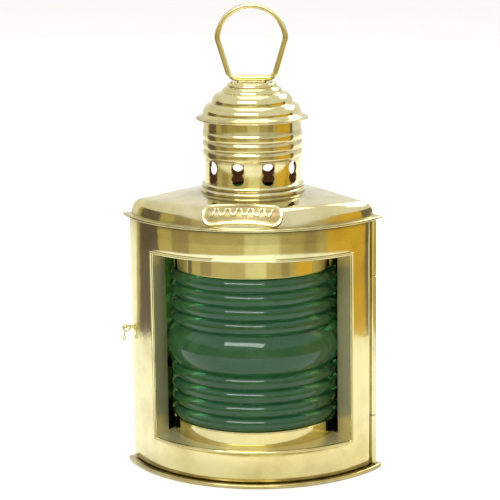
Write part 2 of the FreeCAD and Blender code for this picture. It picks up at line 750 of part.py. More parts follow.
def dome(name, inset, drop):
    """A solid roof: tapered sides, a gently sloping conical top and a rounded shoulder."""
    body = new_body(name)
    sketch = new_sketch(body, "XY_Plane", BRIM_TOP)
    draw(sketch, outline(f"({ROOF_RADIUS}-{inset})", f"({ROOF_DISTANCE}-{inset})",
                         f"(dims.rear_round-dims.roof_inset-{inset})"))
    feature = pad(body, sketch, "20")
    feature.setExpression("TaperAngle", "-dims.roof_taper")
    top = new_sketch(body, "XZ_Plane")
    centre_top = f"{ROOF_AT_DRUM}-{drop}+tan(dims.roof_slope)*dims.drum_radius"
    outer_top = f"{ROOF_AT_DRUM}-{drop}-tan(dims.roof_slope)*(110-dims.drum_radius)"
    draw(top, [("0", centre_top), ("110", outer_top), ("110", "dims.roof_edge+40"),
               ("0", "dims.roof_edge+40")])
    trimmed = spin(body, top, kind="Groove")
    doc.recompute()
    low = number(BRIM_TOP) + 1
    names = []
    for index, edge in enumerate(trimmed.Shape.Edges, start=1):
        if edge.BoundBox.ZMin > low:
            names.append(f"Edge{index}")
    rounding = body.newObject("PartDesign::Fillet", name + "_fillet")
    rounding.Base = (trimmed, names)
    rounding.setExpression("Radius", f"dims.roof_round-{inset}")
    return body


def make_roof_dome():
    """The hollow roof, with a round hole under the chimney."""
    outer = dome("roof_outside", "0", "0")
    inner = dome("roof_inside", "dims.roof_sheet", "dims.roof_sheet")
    hole = doc.addObject("Part::Cylinder", "roof_hole")
    hole.setExpression("Radius", "dims.drum_radius-dims.drum_sheet")
    hole.setExpression("Height", "60")
    hole.setExpression("Placement.Base.z", "dims.case_top")
    pieces.append(boolean("Cut", "roof_dome", outer, boolean("Fuse", "roof_void", inner, hole)))
    return outer


def stadium(name, half_width, height):
    """A long round-ended bar that leans back with the shoulder of the roof."""
    body = new_body(name)
    sketch = new_sketch(body, "XZ_Plane", "-30")
    end = f"({half_width}-({height})/2)"
    half = f"({height})/2"
    draw(sketch, [
        (f"-{end}", f"-{half}"),
        (end, f"-{half}", half),
        (f"{end}+{half}", "0", half),
        (end, half),
        (f"-{end}", half, half),
        (f"-({end}+{half})", "0", half),
    ])
    pad(body, sketch, "60")
    body.Placement = Placement(Vector(0, 0, 0), Rotation(Vector(1, 0, 0), -number("dims.plate_tilt")))
    body.setExpression("Placement.Base.y", "dims.plate_y")
    body.setExpression("Placement.Base.z", "dims.plate_z")
    return body


def make_name_plate(roof):
    """A blank cartouche with a raised border, pressed to the shoulder of the roof."""
    field = dome("plate_field", "-dims.plate_proud", "-dims.plate_proud")
    raised = "-(dims.plate_proud+dims.border_proud)"
    border = dome("plate_border", raised, raised)
    inner_half = "(dims.plate_half-dims.border_width)"
    inner_height = "(dims.plate_height-2*dims.border_width)"
    whole = boolean("Common", "plate_whole", border, stadium("plate_bar", "dims.plate_half", "dims.plate_height"))
    above = boolean("Cut", "plate_above", stadium("plate_inner_bar", inner_half, inner_height), field)
    recessed = boolean("Cut", "plate_recessed", whole, above)
    pieces.append(boolean("Cut", "name_plate", recessed, roof))


def make_drum():
    """The chimney: a ribbed sheet drum with a ring of figure-of-eight vents."""
    body = new_piece("chimney_drum")
    sketch = new_sketch(body, "XZ_Plane")
    inside = "dims.drum_radius-dims.drum_sheet"
    foot = f"({ROOF_AT_DRUM}+tan(dims.roof_slope)*dims.drum_sheet)"
    corners = [(inside, foot), ("dims.drum_radius", foot)]
    for rib in range(3):
        corners.append(("dims.drum_radius", f"dims.rib_bottom+{rib}*dims.rib_pitch", "dims.rib_round"))
    corners += [
        ("dims.drum_radius", "dims.rib_bottom+3*dims.rib_pitch"),
        ("dims.drum_radius", "dims.drum_top"),
        (inside, "dims.drum_top"),
        (inside, "dims.rib_bottom+3*dims.rib_pitch", "-dims.rib_round"),
    ]
    for rib in (2, 1):
        corners.append((inside, f"dims.rib_bottom+{rib}*dims.rib_pitch", "-dims.rib_round"))
    corners.append((inside, "dims.rib_bottom"))
    draw(sketch, corners)
    spin(body, sketch)
    vents = new_sketch(body, "XZ_Plane")
    circle(vents, "0", "dims.vent_low", "dims.vent_radius")
    low = extrude("Pocket", body, vents, "dims.drum_radius+2", reverse=True)
    upper = new_sketch(body, "XZ_Plane")
    circle(upper, "0", "dims.vent_low+dims.vent_pitch", "dims.vent_radius")
    high = extrude("Pocket", body, upper, "dims.drum_radius+2", reverse=True)
    pattern = body.newObject("PartDesign::PolarPattern", "vent_pattern")
    pattern.Originals = [low, high]
    axis = [item for item in body.Origin.OriginFeatures if item.Role == "Z_Axis"][0]
    pattern.Axis = (axis, [""])
    pattern.Angle = 360
    pattern.setExpression("Occurrences", "dims.vent_count")
    body.Tip = pattern
    body.Placement = Placement(Vector(0, 0, 0), Rotation(Vector(0, 0, 1), number("dims.vent_turn")))


def make_collar():
    """The rolled collar at the foot of the chimney."""
    body = new_piece("chimney_collar")
    sketch = new_sketch(body, "XZ_Plane")
    flare = "dims.drum_radius+dims.collar_flare"
    draw(sketch, [
        ("dims.drum_radius", ROOF_AT_DRUM),
        (flare, ROOF_AT_DRUM, "2.2"),
        ("dims.drum_radius+1.0", f"{ROOF_AT_DRUM}+2.6", "1.8"),
        ("dims.drum_radius+0.6", f"{ROOF_AT_DRUM}+dims.collar_height"),
        ("dims.drum_radius", f"{ROOF_AT_DRUM}+dims.collar_height"),
    ])
    spin(body, sketch)


def make_cap():
    """The stepped cap, a thin spun shell with a flared brim and a skirt that plugs the drum."""
    body = new_piece("chimney_cap")
    tiers = [
        ("dims.cap_top", "dims.cap_top_z"),
        ("dims.cap_tier4", "dims.cap_tier4_z"),
        ("dims.cap_tier3", "dims.cap_tier3_z"),
        ("dims.cap_tier2", "dims.cap_tier2_z"),
        ("dims.cap_tier1", "dims.cap_tier1_z"),
    ]
    rounds = ["3", "4.5", "dims.cap_round", "dims.cap_round"]
    corners = [("0", "dims.cap_top_z")]
    for (radius, height), rounding in zip(tiers[:-1], rounds):
        corners.append((radius, height, f"-{rounding}"))
    corners += [
        ("dims.cap_tier1", "dims.cap_tier1_z", "8"),
        ("dims.cap_brim", "dims.cap_brim_z"),
        ("dims.cap_brim-0.1", "dims.cap_brim_z-0.8"),
        ("dims.cap_brim-1", "dims.cap_brim_z-0.8", "-8"),
        ("dims.cap_tier1-dims.cap_sheet", "dims.cap_tier1_z-dims.cap_sheet"),
    ]
    inward = list(zip(tiers[:-1], rounds))[::-1]
    corners[-1] = corners[-1] + (inward[0][1],)
    for step, ((radius, height), rounding) in enumerate(inward):
        corner = (f"{radius}-dims.cap_sheet", f"{height}-dims.cap_sheet")
        if step + 1 < len(inward):
            corner += (inward[step + 1][1],)
        corners.append(corner)
    corners.append(("0", "dims.cap_top_z-dims.cap_sheet"))
    sketch = new_sketch(body, "XZ_Plane")
    draw(sketch, corners)
    spin(body, sketch)
    skirt = new_sketch(body, "XZ_Plane")
    inside = "dims.drum_radius-dims.drum_sheet"
    draw(skirt, rectangle(f"{inside}-dims.cap_sheet", "dims.drum_top-dims.skirt_depth", inside,
                          "dims.cap_tier1_z+2.3"))
    spin(body, skirt)


def make_bail():
    """The sleeve on the cap and the wire bail that swings in it."""
    sleeve = new_piece("bail_sleeve")
    sketch = new_sketch(sleeve, "YZ_Plane")
    circle(sketch, "0", SLEEVE_AXIS, "dims.sleeve_radius")
    circle(sketch, "0", SLEEVE_AXIS, "dims.bail_wire+dims.bail_clearance")
    pad(sleeve, sketch, "dims.sleeve_length", midplane=True)

    bail = new_piece("bail")
    path = new_sketch(bail, "XZ_Plane")
    bend_x = "(dims.bail_straight+dims.bail_bend*sin(dims.bail_splay))"
    bend_z = f"({SLEEVE_AXIS}+dims.bail_bend*(1-cos(dims.bail_splay)))"
    side_x = f"({bend_x}+dims.bail_side*cos(dims.bail_splay))"
    side_z = f"({bend_z}+dims.bail_side*sin(dims.bail_splay))"
    kink_x = f"({side_x}+dims.kink_round*(sin(dims.kink_angle)-sin(dims.bail_splay)))"
    kink_z = f"({side_z}+dims.kink_round*(cos(dims.bail_splay)-cos(dims.kink_angle)))"
    arch = f"({kink_x}/sin(dims.kink_angle))"
    draw(path, [
        ("0.4", SLEEVE_AXIS),
        ("dims.bail_straight", SLEEVE_AXIS, "dims.bail_bend"),
        (bend_x, bend_z),
        (side_x, side_z, "dims.kink_round"),
        (kink_x, kink_z, arch),
        (f"-{kink_x}", kink_z, "dims.kink_round"),
        (f"-{side_x}", side_z),
        (f"-{bend_x}", bend_z, "dims.bail_bend"),
        ("-dims.bail_straight", SLEEVE_AXIS),
        ("-0.4", SLEEVE_AXIS),
    ], closed=False)
    section = new_sketch(bail, "YZ_Plane", "0.4")
    circle(section, "0", SLEEVE_AXIS, "dims.bail_wire")
    wire = bail.newObject("PartDesign::AdditivePipe", "bail_pipe")
    wire.Profile = section
    wire.Spine = (path, [])


def make_bracket(name, bottom):
    """A folded strap on the rear corner: two wings on the flat sides and a face with a screw hole."""
    body = new_piece(name)
    sketch = new_sketch(body, "XY_Plane", bottom)
    reach = "dims.side_distance*sqrt(2)"
    wing_in = "(dims.rear_round/sqrt(2)+1)"
    wing_out = "(dims.rear_round/sqrt(2)+1+dims.bracket_wing/sqrt(2))"
    over = "dims.bracket_sheet*sqrt(2)"
    draw(sketch, [
        (wing_out, f"{reach}-{wing_out}"),
        (f"{wing_out}+dims.bracket_sheet/sqrt(2)", f"{reach}-{wing_out}+dims.bracket_sheet/sqrt(2)"),
        (f"{wing_in}+0.6", f"{reach}-{wing_in}-0.6+{over}"),
        ("dims.bracket_half", "dims.bracket_standoff+dims.bracket_sheet"),
        ("-dims.bracket_half", "dims.bracket_standoff+dims.bracket_sheet"),
        (f"-({wing_in}+0.6)", f"{reach}-{wing_in}-0.6+{over}"),
        (f"-({wing_out}+dims.bracket_sheet/sqrt(2))", f"{reach}-{wing_out}+dims.bracket_sheet/sqrt(2)"),
        (f"-{wing_out}", f"{reach}-{wing_out}"),
        (f"-({wing_in}-0.6)", f"{reach}-{wing_in}+0.6"),
        ("-(dims.bracket_half-1)", "dims.bracket_standoff"),
        ("dims.bracket_half-1", "dims.bracket_standoff"),
        (f"{wing_in}-0.6", f"{reach}-{wing_in}+0.6"),
    ])
    pad(body, sketch, "dims.bracket_height")
    hole = new_sketch(body, "XZ_Plane", "-(dims.bracket_standoff-1)")
    circle(hole, "0", f"{bottom}+dims.bracket_height/2", "dims.screw_radius")
    extrude("Pocket", body, hole, "dims.bracket_sheet+3")


def make_rivets():
    """Round-headed rivets that hold the wings of both brackets to the case."""
    rivets = []
    for bottom in ("dims.bracket_low", "dims.bracket_high"):
        for turn in (45, -45):
            body = new_body(f"rivet_{len(rivets) + 1}")
            sketch = new_sketch(body, "XZ_Plane")
            face = "dims.side_distance+dims.bracket_sheet"
            draw(sketch, [
                ("0", WALL_INSIDE + "-0.8"),
                ("dims.rivet_head*0.8", WALL_INSIDE + "-0.8"),
                ("dims.rivet_head*0.8", WALL_INSIDE),
                ("dims.rivet_radius", WALL_INSIDE),
                ("dims.rivet_radius", face),
                ("dims.rivet_head", face, "(dims.rivet_head^2+dims.rivet_dome^2)/(2*dims.rivet_dome)"),
                ("0", f"{face}+dims.rivet_dome"),
            ])
            spin(body, sketch)
            side = 1 if turn == 45 else -1
            middle = "(dims.rear_round/sqrt(2)+1+dims.bracket_wing/sqrt(8))"
            reach = "dims.side_distance/sqrt(2)"
            body.Placement = Placement(Vector(0, 0, 0), Rotation(Vector(0, 0, 1), Vector(side, 1, 0)))
            body.setExpression("Placement.Base.x", f"{side}*({middle}-{reach})")
            body.setExpression("Placement.Base.y", f"{reach}-{middle}")
            body.setExpression("Placement.Base.z", f"{bottom}+dims.bracket_height/2")
            rivets.append(body)
    group = doc.addObject("Part::Compound", "bracket_rivets")
    group.Links = rivets
    group.Label = "bracket_rivets"
    pieces.append(group)


def make_font():
    """The oil font with its locating ring, filler cap and burner collar."""
    ring = new_piece("font_ring")
    sketch = new_sketch(ring, "XZ_Plane")
    start = "dims.font_radius+dims.ring_clearance"
    draw(sketch, rectangle(start, "dims.base_sheet", f"{start}+dims.lip_sheet",
                           "dims.base_sheet+dims.font_ring_height"))
    spin(ring, sketch)

    font = new_piece("oil_font")
    shell = new_sketch(font, "XZ_Plane")
    top = FONT_TOP
    inner_round = "(dims.font_round-dims.font_sheet)"
    draw(shell, [
        ("0", "dims.base_sheet"),
        ("dims.font_radius-2", "dims.base_sheet", "2"),
        ("dims.font_radius", "dims.base_sheet+2"),
        ("dims.font_radius", f"{top}-dims.font_round", "dims.font_round"),
        ("dims.font_radius-dims.font_round", top),
        ("dims.burner_radius-2", top),
        ("dims.burner_radius-2", f"{top}-dims.font_sheet"),
        ("dims.font_radius-dims.font_round", f"{top}-dims.font_sheet", f"-{inner_round}"),
        ("dims.font_radius-dims.font_sheet", f"{top}-dims.font_round"),
        ("dims.font_radius-dims.font_sheet", "dims.base_sheet+2", "-1.1"),
        ("dims.font_radius-2", "dims.base_sheet+dims.font_sheet"),
        ("0", "dims.base_sheet+dims.font_sheet"),
    ])
    spin(font, shell)

    cap = new_piece("filler_cap")
    knurl = new_sketch(cap, "XY_Plane", top)
    circle(knurl, "0", "0", "dims.filler_radius")
    body_pad = pad(cap, knurl, "dims.filler_height")
    fillet(cap, body_pad, level_edges(f"{top}+dims.filler_height"), "1.2")
    place(cap, "-dims.filler_offset", "0", "0")


def make_burner():
    """The burner: collar, body, cone, wick tube, wick and the winder that lifts the wick."""
    collar = new_piece("burner_collar")
    sketch = new_sketch(collar, "XZ_Plane")
    draw(sketch, rectangle("dims.burner_radius-2", FONT_TOP, "dims.burner_radius+1.5", COLLAR_TOP))
    spin(collar, sketch)

    base = new_piece("burner_body")
    section = new_sketch(base, "XZ_Plane")
    half_wide = "(dims.wick_width/2+dims.tube_gap+dims.tube_sheet)"
    half_thick = "(dims.wick_thick/2+dims.tube_gap+dims.tube_sheet)"
    slot = f"sqrt({half_wide}^2+{half_thick}^2)"
    draw(section, [
        (slot, COLLAR_TOP),
        ("dims.burner_radius", COLLAR_TOP),
        ("dims.burner_radius+2", f"{BURNER_TOP}-3"),
        ("dims.burner_radius+4", BURNER_TOP),
        ("dims.burner_radius+4-dims.burner_sheet", BURNER_TOP),
        ("dims.burner_radius+2-dims.burner_sheet", f"{BURNER_TOP}-3+0.4"),
        ("dims.burner_radius-dims.burner_sheet", f"{COLLAR_TOP}+dims.burner_sheet"),
        (slot, f"{COLLAR_TOP}+dims.burner_sheet"),
    ])
    spin(base, section)
    bore = new_sketch(base, "YZ_Plane", "0")
    circle(bore, SHAFT_Y, "dims.shaft_z", "dims.shaft_radius+dims.pin_clearance")
    extrude("Pocket", base, bore, "dims.burner_radius+8", reverse=True)

    cone = new_piece("burner_cone")
    hood = new_sketch(cone, "XZ_Plane")
    draw(hood, [
        ("dims.burner_radius+4-2*dims.burner_sheet", BURNER_TOP),
        ("dims.burner_radius+4-dims.burner_sheet", BURNER_TOP),
        ("dims.burner_radius+2.4", f"{BURNER_TOP}+3", "dims.burner_radius+4"),
        ("dims.wick_width/2+2.0", f"{BURNER_TOP}+dims.cone_height"),
        ("dims.wick_width/2+1.6", f"{BURNER_TOP}+dims.cone_height-0.9", "-(dims.burner_radius+4)"),
        ("dims.burner_radius+2.4-dims.burner_sheet", f"{BURNER_TOP}+2.6"),
    ])
    spin(cone, hood)

    channel = new_piece("wick_tube")
    low = f"{FONT_TOP}-8"
    outer = new_sketch(channel, "XY_Plane", low)
    wide = "(dims.wick_width/2+dims.tube_gap)"
    thick = "(dims.wick_thick/2+dims.tube_gap)"
    draw(outer, rectangle(f"-({wide}+dims.tube_sheet)", f"-({thick}+dims.tube_sheet)",
                          f"{wide}+dims.tube_sheet", f"{thick}+dims.tube_sheet"))
    draw(outer, rectangle(f"-{wide}", f"-{thick}", wide, thick))
    pad(channel, outer, f"dims.tube_top-({low})")
    window = new_sketch(channel, "XY_Plane", "dims.shaft_z-dims.spur_radius-1")
    draw(window, rectangle("-dims.wick_width/3", f"{thick}-0.1", "dims.wick_width/3", "8"))
    cut_up(channel, window, "2*dims.spur_radius+2")

    wick = new_piece("wick")
    cloth = new_sketch(wick, "XY_Plane", "dims.wick_bottom")
    draw(cloth, rectangle("-dims.wick_width/2", "-dims.wick_thick/2", "dims.wick_width/2",
                          "dims.wick_thick/2"))
    pad(wick, cloth, "dims.wick_top-dims.wick_bottom")

    shaft = new_piece("wick_shaft")
    tube(shaft, "YZ_Plane", "-dims.wick_width/2+1", "0", "0", "dims.shaft_radius",
         "dims.shaft_length+dims.wick_width/2-1")
    for place_x in ("-dims.wick_width/4-dims.spur_width/2", "dims.wick_width/4-dims.spur_width/2"):
        spur = new_sketch(shaft, "YZ_Plane", place_x)
        teeth = int(number("dims.spur_teeth"))
        corners = []
        for step in range(2 * teeth):
            reach = "dims.spur_radius" if step % 2 == 0 else "(dims.spur_radius*0.72)"
            angle = f"{step}*180/dims.spur_teeth"
            corners.append((f"{reach}*cos({angle})", f"{reach}*sin({angle})"))
        draw(spur, corners)
        pad(shaft, spur, "dims.spur_width")
    place(shaft, "0", SHAFT_Y, "dims.shaft_z")

    knob = new_piece("wick_knob")
    disc = new_sketch(knob, "YZ_Plane", "dims.shaft_length-dims.knob_thick")
    circle(disc, "0", "0", "dims.knob_radius")
    circle(disc, "0", "0", "dims.shaft_radius")
    pad(knob, disc, "dims.knob_thick")
    place(knob, "0", SHAFT_Y, "dims.shaft_z")


make_flange("base_plate", "0", "dims.rim_height", None)
make_lip("base_lip", "dims.base_sheet", "dims.lip_height")
make_rear_casing()
brim_opening = outline(f"({ROOF_RADIUS}-3)", f"({ROOF_DISTANCE}-3)", "(dims.rear_round-dims.roof_inset-3)")
make_flange("roof_brim", "dims.case_top", "dims.brim_rim", brim_opening)
make_lip("roof_lip", "dims.case_top-dims.lip_height", "dims.lip_height")
roof = make_roof_dome()
make_name_plate(roof)
make_collar()
make_drum()
make_cap()
make_bail()
make_bracket("bracket_lower", "dims.bracket_low")
make_bracket("bracket_upper", "dims.bracket_high")
make_rivets()
make_door_panel()
make_window_moulding()
make_window_reveal()
make_gallery("gallery_lower", "dims.window_bottom-dims.reveal_sheet", "dims.lens_bottom-0.1",
             "dims.lens_bottom-dims.foot_height-dims.gallery_sheet")
make_gallery("gallery_upper", f"{LENS_TOP}+0.1", "dims.window_top+dims.reveal_sheet",
             f"{LENS_TOP}+dims.foot_height")
make_lens()
make_lens_clips()
make_hinge("case_hinge", [("dims.door_bottom", "dims.knuckle_low"),
                          ("dims.knuckle_high", "dims.door_top")], 135,
           f"((dims.hinge_x+dims.hinge_y)/sqrt(2)-{WALL_INSIDE})",
           "dims.base_sheet+dims.lip_height+0.3", "dims.case_top-dims.lip_height-0.3")
make_hinge("door_hinge", [("dims.knuckle_low+dims.knuckle_gap", "dims.knuckle_high-dims.knuckle_gap")],
           238.4, "-1.23", "dims.door_bottom+1", "dims.door_top-1")
make_hinge_pin()
make_latch()
make_latch_bracket()
make_font()
make_burner()
doc.recompute()

for item in doc.Objects:
    if "Invalid" in item.State or "Error" in item.State:
        raise RuntimeError(f"{item.Name} did not compute")
os.makedirs("parts", exist_ok=True)
for piece in pieces:
    if piece.Shape.isNull() or not piece.Shape.isValid():
        raise RuntimeError(f"{piece.Label} has no valid shape")
    piece.Shape.exportStep(f"parts/{piece.Label}.step")
    print(piece.Label, round(piece.Shape.Volume), len(piece.Shape.Solids))
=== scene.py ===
"""Quarter-round brass navigation light: the visual model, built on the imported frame.

Every length is in metres, +Z is up and the front of the lamp faces -Y.
"""

import logging
import math
from dataclasses import dataclass
from enum import Enum
from typing import Callable, Iterable, Optional, Sequence, Union

import bpy
from mathutils import Matrix, Vector


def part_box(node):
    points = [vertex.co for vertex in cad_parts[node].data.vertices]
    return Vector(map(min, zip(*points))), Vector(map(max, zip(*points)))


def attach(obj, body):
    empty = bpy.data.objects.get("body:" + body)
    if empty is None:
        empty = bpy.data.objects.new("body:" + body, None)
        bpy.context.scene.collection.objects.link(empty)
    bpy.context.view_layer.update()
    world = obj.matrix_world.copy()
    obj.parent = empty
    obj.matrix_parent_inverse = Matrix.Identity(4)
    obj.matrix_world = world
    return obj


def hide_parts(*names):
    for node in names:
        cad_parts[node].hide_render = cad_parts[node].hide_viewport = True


log = logging.getLogger("navigation_light")

Point = Sequence[float]
Number = Union[float, "Value"]


class Body(Enum):
    """The moving groups of the lamp."""

    CASE = "case"
    DOOR = "door"
    LATCH = "latch"
    BAIL = "bail"
    WINDER = "winder"
    WICK = "wick"


class Slot(Enum):
    """The material slots that the record names."""

    SHEET = "sheet_brass"
    SPUN = "spun_brass"
    WIRE = "wire_brass"
    BURNER = "burner_brass"
    GLASS = "green_glass"
    COTTON = "cotton"


class Grain(Enum):
    """Which way the polishing lines of a brass finish run."""

    UPRIGHT = (900.0, 900.0, 12.0)
    ROUND = (14.0, 14.0, 2600.0)
    LOOSE = (260.0, 260.0, 260.0)


# ---------------------------------------------------------------- shader maths


class Value:
    """A shader socket that arithmetic turns into Math nodes."""

    def __init__(self, graph: "Graph", socket: bpy.types.NodeSocket) -> None:
        """Wrap a socket of a graph.

        Args:
            graph: the node graph that owns the socket.
            socket: the output socket.
        """
        self.graph = graph
        self.socket = socket

    def _math(self, operation: str, first: Number, second: Number) -> "Value":
        """Add one Math node.

        Args:
            operation: the node's operation.
            first: the left operand.
            second: the right operand.

        Returns:
            The result as a value.
        """
        return self.graph.add("ShaderNodeMath", {"operation": operation}, {0: first, 1: second})

    def __add__(self, other: Number) -> "Value":
        """Sum."""
        return self._math("ADD", self, other)

    __radd__ = __add__

    def __sub__(self, other: Number) -> "Value":
        """Difference."""
        return self._math("SUBTRACT", self, other)

    def __rsub__(self, other: Number) -> "Value":
        """Reflected difference."""
        return self._math("SUBTRACT", other, self)

    def __mul__(self, other: Number) -> "Value":
        """Product."""
        return self._math("MULTIPLY", self, other)

    __rmul__ = __mul__

    def __truediv__(self, other: Number) -> "Value":
        """Quotient."""
        return self._math("DIVIDE", self, other)

    def at_least(self, other: Number) -> "Value":
        """The larger of this and another value."""
        return self._math("MAXIMUM", self, other)

    def distance(self, level: float) -> "Value":
        """How far this value is from a level, either way."""
        return self.graph.add("ShaderNodeMath", {"operation": "ABSOLUTE"}, {0: self - level})


class Graph:
    """The node graph of one material, made through a single method."""

    def __init__(self, name: str) -> None:
        """Start a material with an empty graph.

        Args:
            name: the material's name.
        """
        self.material = bpy.data.materials.new(name)
        self.material.use_nodes = True
        self.tree = self.material.node_tree
        self.tree.nodes.clear()
        self.output = self.tree.nodes.new("ShaderNodeOutputMaterial")
        self.coordinates = self.add("ShaderNodeTexCoord", {}, {}, "Object")

    def add(self, kind: str, settings: dict, inputs: dict, output: Union[int, str] = 0) -> Value:
        """Add one node.

        Args:
            kind: the node's type.
            settings: its settings, set before its sockets; "stops" fills a colour ramp.
            inputs: values or links for its sockets, by name or index.
            output: the output socket that is returned.

        Returns:
            The chosen output as a value.
        """
        node = self.tree.nodes.new(kind)
        for key, setting in settings.items():
            if key == "stops":
                self._fill_ramp(node.color_ramp, setting)
            else:
                setattr(node, key, setting)
        for key, source in inputs.items():
            if isinstance(source, Value):
                self.tree.links.new(source.socket, node.inputs[key])
            else:
                node.inputs[key].default_value = source
        return Value(self, node.outputs[output])

    @staticmethod
    def _fill_ramp(ramp: bpy.types.ColorRamp, stops: Sequence[tuple]) -> None:
        """Set the stops of a colour ramp.

        Args:
            ramp: the ramp.
            stops: pairs of position and grey level or colour.
        """
        while len(ramp.elements) < len(stops):
            ramp.elements.new(0.5)
        for element, (position, level) in zip(ramp.elements, stops):
            element.position = position
            element.color = (level, level, level, 1.0) if isinstance(level, float) else (*level, 1.0)

    def noise(self, size: float, detail: float = 2.0, rough: float = 0.5,
              stretch: Point = (1, 1, 1)) -> Value:
        """Noise over the piece's own coordinates.

        Args:
            size: features per metre.
            detail: octaves.
            rough: how strong the fine octaves are.
            stretch: extra scale along each axis.

        Returns:
            The noise from 0 to 1.
        """
        place = self.coordinates
        if tuple(stretch) != (1, 1, 1):
            place = self.add("ShaderNodeMapping", {}, {"Vector": place, "Scale": stretch})
        return self.add("ShaderNodeTexNoise", {}, {"Vector": place, "Scale": size, "Detail": detail,
                                                   "Roughness": rough})

    def steps(self, source: Value, *stops: tuple) -> Value:
        """A value sent through a grey ramp.

        Args:
            source: the value.
            stops: pairs of position and level.

        Returns:
            The level.
        """
        return self.add("ShaderNodeValToRGB", {"stops": stops}, {"Fac": source})

    def blend(self, factor: Number, first: Union[Value, Point], second: Union[Value, Point]) -> Value:
        """Mix two colours.

        Args:
            factor: 0 for the first and 1 for the second.
            first: a colour or a link.
            second: a colour or a link.

        Returns:
            The mixed colour.
        """
        inputs = {0: factor, 6: self._colour(first), 7: self._colour(second)}
        return self.add("ShaderNodeMix", {"data_type": "RGBA"}, inputs, 2)

    @staticmethod
    def _colour(colour: Union[Value, Point]) -> Union[Value, tuple]:
        """A colour with its alpha, or the link as it is."""
        return colour if isinstance(colour, Value) else (*colour, 1.0)

    def bump(self, height: Value, depth: float, under: Optional[Value] = None) -> Value:
        """A bump from a height field.

        Args:
            height: the field from 0 to 1.
            depth: its depth in metres.
            under: a coarser bump that this one lies on.

        Returns:
            The normal.
        """
        inputs = {"Height": height, "Distance": depth, "Strength": 1.0}
        if under is not None:
            inputs["Normal"] = under
        return self.add("ShaderNodeBump", {}, inputs)

    def finish(self, shader: Value) -> bpy.types.Material:
        """Send a shader to the output and return the material."""
        self.tree.links.new(shader.socket, self.output.inputs["Surface"])
        return self.material


@dataclass(frozen=True)
class BrassFinish:
    """Polished brass: tint drift, wavy sheet, polishing lines, scratches, tarnish, and darkening along level
    seams that is partly polish residue and partly painted shade where parts meet.
    """

    name: str
    light: tuple = (0.665, 0.625, 0.375)
    deep: tuple = (0.610, 0.535, 0.230)
    # colour of the tarnish stains, and of the painted shade along seams
    stain_and_shade: tuple = (0.230, 0.165, 0.060)
    rough: float = 0.085
    wave: float = 0.00045
    wave_size: float = 22.0
    tarnish: float = 0.35
    grain: Grain = Grain.UPRIGHT
    grain_depth: float = 0.000003
    seams: tuple = ()
    seam_width: float = 0.0022
    metal: float = 1.0

    def build(self) -> bpy.types.Material:
        """Make the material."""
        graph = Graph(self.name)
        drift = graph.noise(9.0, 3.0, 0.55)
        patches = graph.steps(graph.noise(34.0, 7.0, 0.68), (0.46, 0.0), (0.72, 1.0))
        freckles = graph.steps(graph.noise(420.0, 3.0, 0.7), (0.66, 0.0), (0.76, 1.0))
        scratches = graph.steps(graph.noise(1.0, 4.0, 0.75, self.grain.value), (0.60, 0.0), (0.72, 1.0))
        stain_and_seam_shade = patches * self.tarnish + freckles * (self.tarnish * 0.8)
        if self.seams:
            # painted shade: the seam mask darkens the colour along the seams where parts meet, partly as
            # polish residue
            stain_and_seam_shade = stain_and_seam_shade + self._seam_residue_and_shade(graph)
        colour = graph.blend(graph.steps(drift, (0.36, 0.0), (0.64, 1.0)), self.light, self.deep)
        colour = graph.blend(stain_and_seam_shade, colour, self.stain_and_shade)
        rough = stain_and_seam_shade * 0.22 + scratches * 0.10 + drift * 0.06 + (self.rough - 0.03)
        normal = graph.bump(graph.noise(self.wave_size, 1.0, 0.4), self.wave)
        normal = graph.bump(graph.noise(110.0, 2.0, 0.5), self.wave * 0.05, normal)
        normal = graph.bump(graph.noise(1.0, 3.0, 0.6, self.grain.value), self.grain_depth, normal)
        shader = graph.add("ShaderNodeBsdfPrincipled", {}, {
            "Base Color": colour, "Metallic": self.metal, "Roughness": rough, "Normal": normal}, "BSDF")
        return graph.finish(shader)

    def _seam_residue_and_shade(self, graph: Graph) -> Value:
        """Darkening along level seams where parts meet: partly polish residue, partly painted shade.

        Args:
            graph: the material's graph.

        Returns:
            The mask.
        """
        height = graph.add("ShaderNodeSeparateXYZ", {}, {0: graph.coordinates}, 2)
        ragged = graph.noise(160.0, 4.0, 0.6)
        total: Optional[Value] = None
        for level in self.seams:
            near = (1.0 - height.distance(level) / self.seam_width).at_least(0.0)
            total = near if total is None else total + near
        return total * ragged * 0.9


@dataclass(frozen=True)
class GlassFinish:
    """Moulded coloured glass with faint flow waves, fingermarks and dust."""

    name: str
    colour: tuple = (0.060, 0.265, 0.100)
    rough: float = 0.03

    def build(self) -> bpy.types.Material:
        """Make the material."""
        graph = Graph(self.name)
        smear = graph.steps(graph.noise(38.0, 5.0, 0.6), (0.42, 0.0), (0.75, 1.0))
        dust = graph.steps(graph.noise(900.0, 2.0, 0.5), (0.70, 0.0), (0.80, 1.0))
        flow = graph.noise(60.0, 2.0, 0.5, (1.0, 1.0, 3.0))
        normal = graph.bump(flow, 0.00010)
        tint = graph.blend(smear * 0.35, self.colour, (0.100, 0.330, 0.150))
        tint = graph.blend(dust * 0.5, tint, (0.30, 0.42, 0.30))
        shader = graph.add("ShaderNodeBsdfPrincipled", {}, {
            "Base Color": tint, "Roughness": smear * 0.05 + dust * 0.2 + self.rough,
            "IOR": 1.45, "Transmission Weight": 0.84, "Normal": normal}, "BSDF")
        return graph.finish(shader)


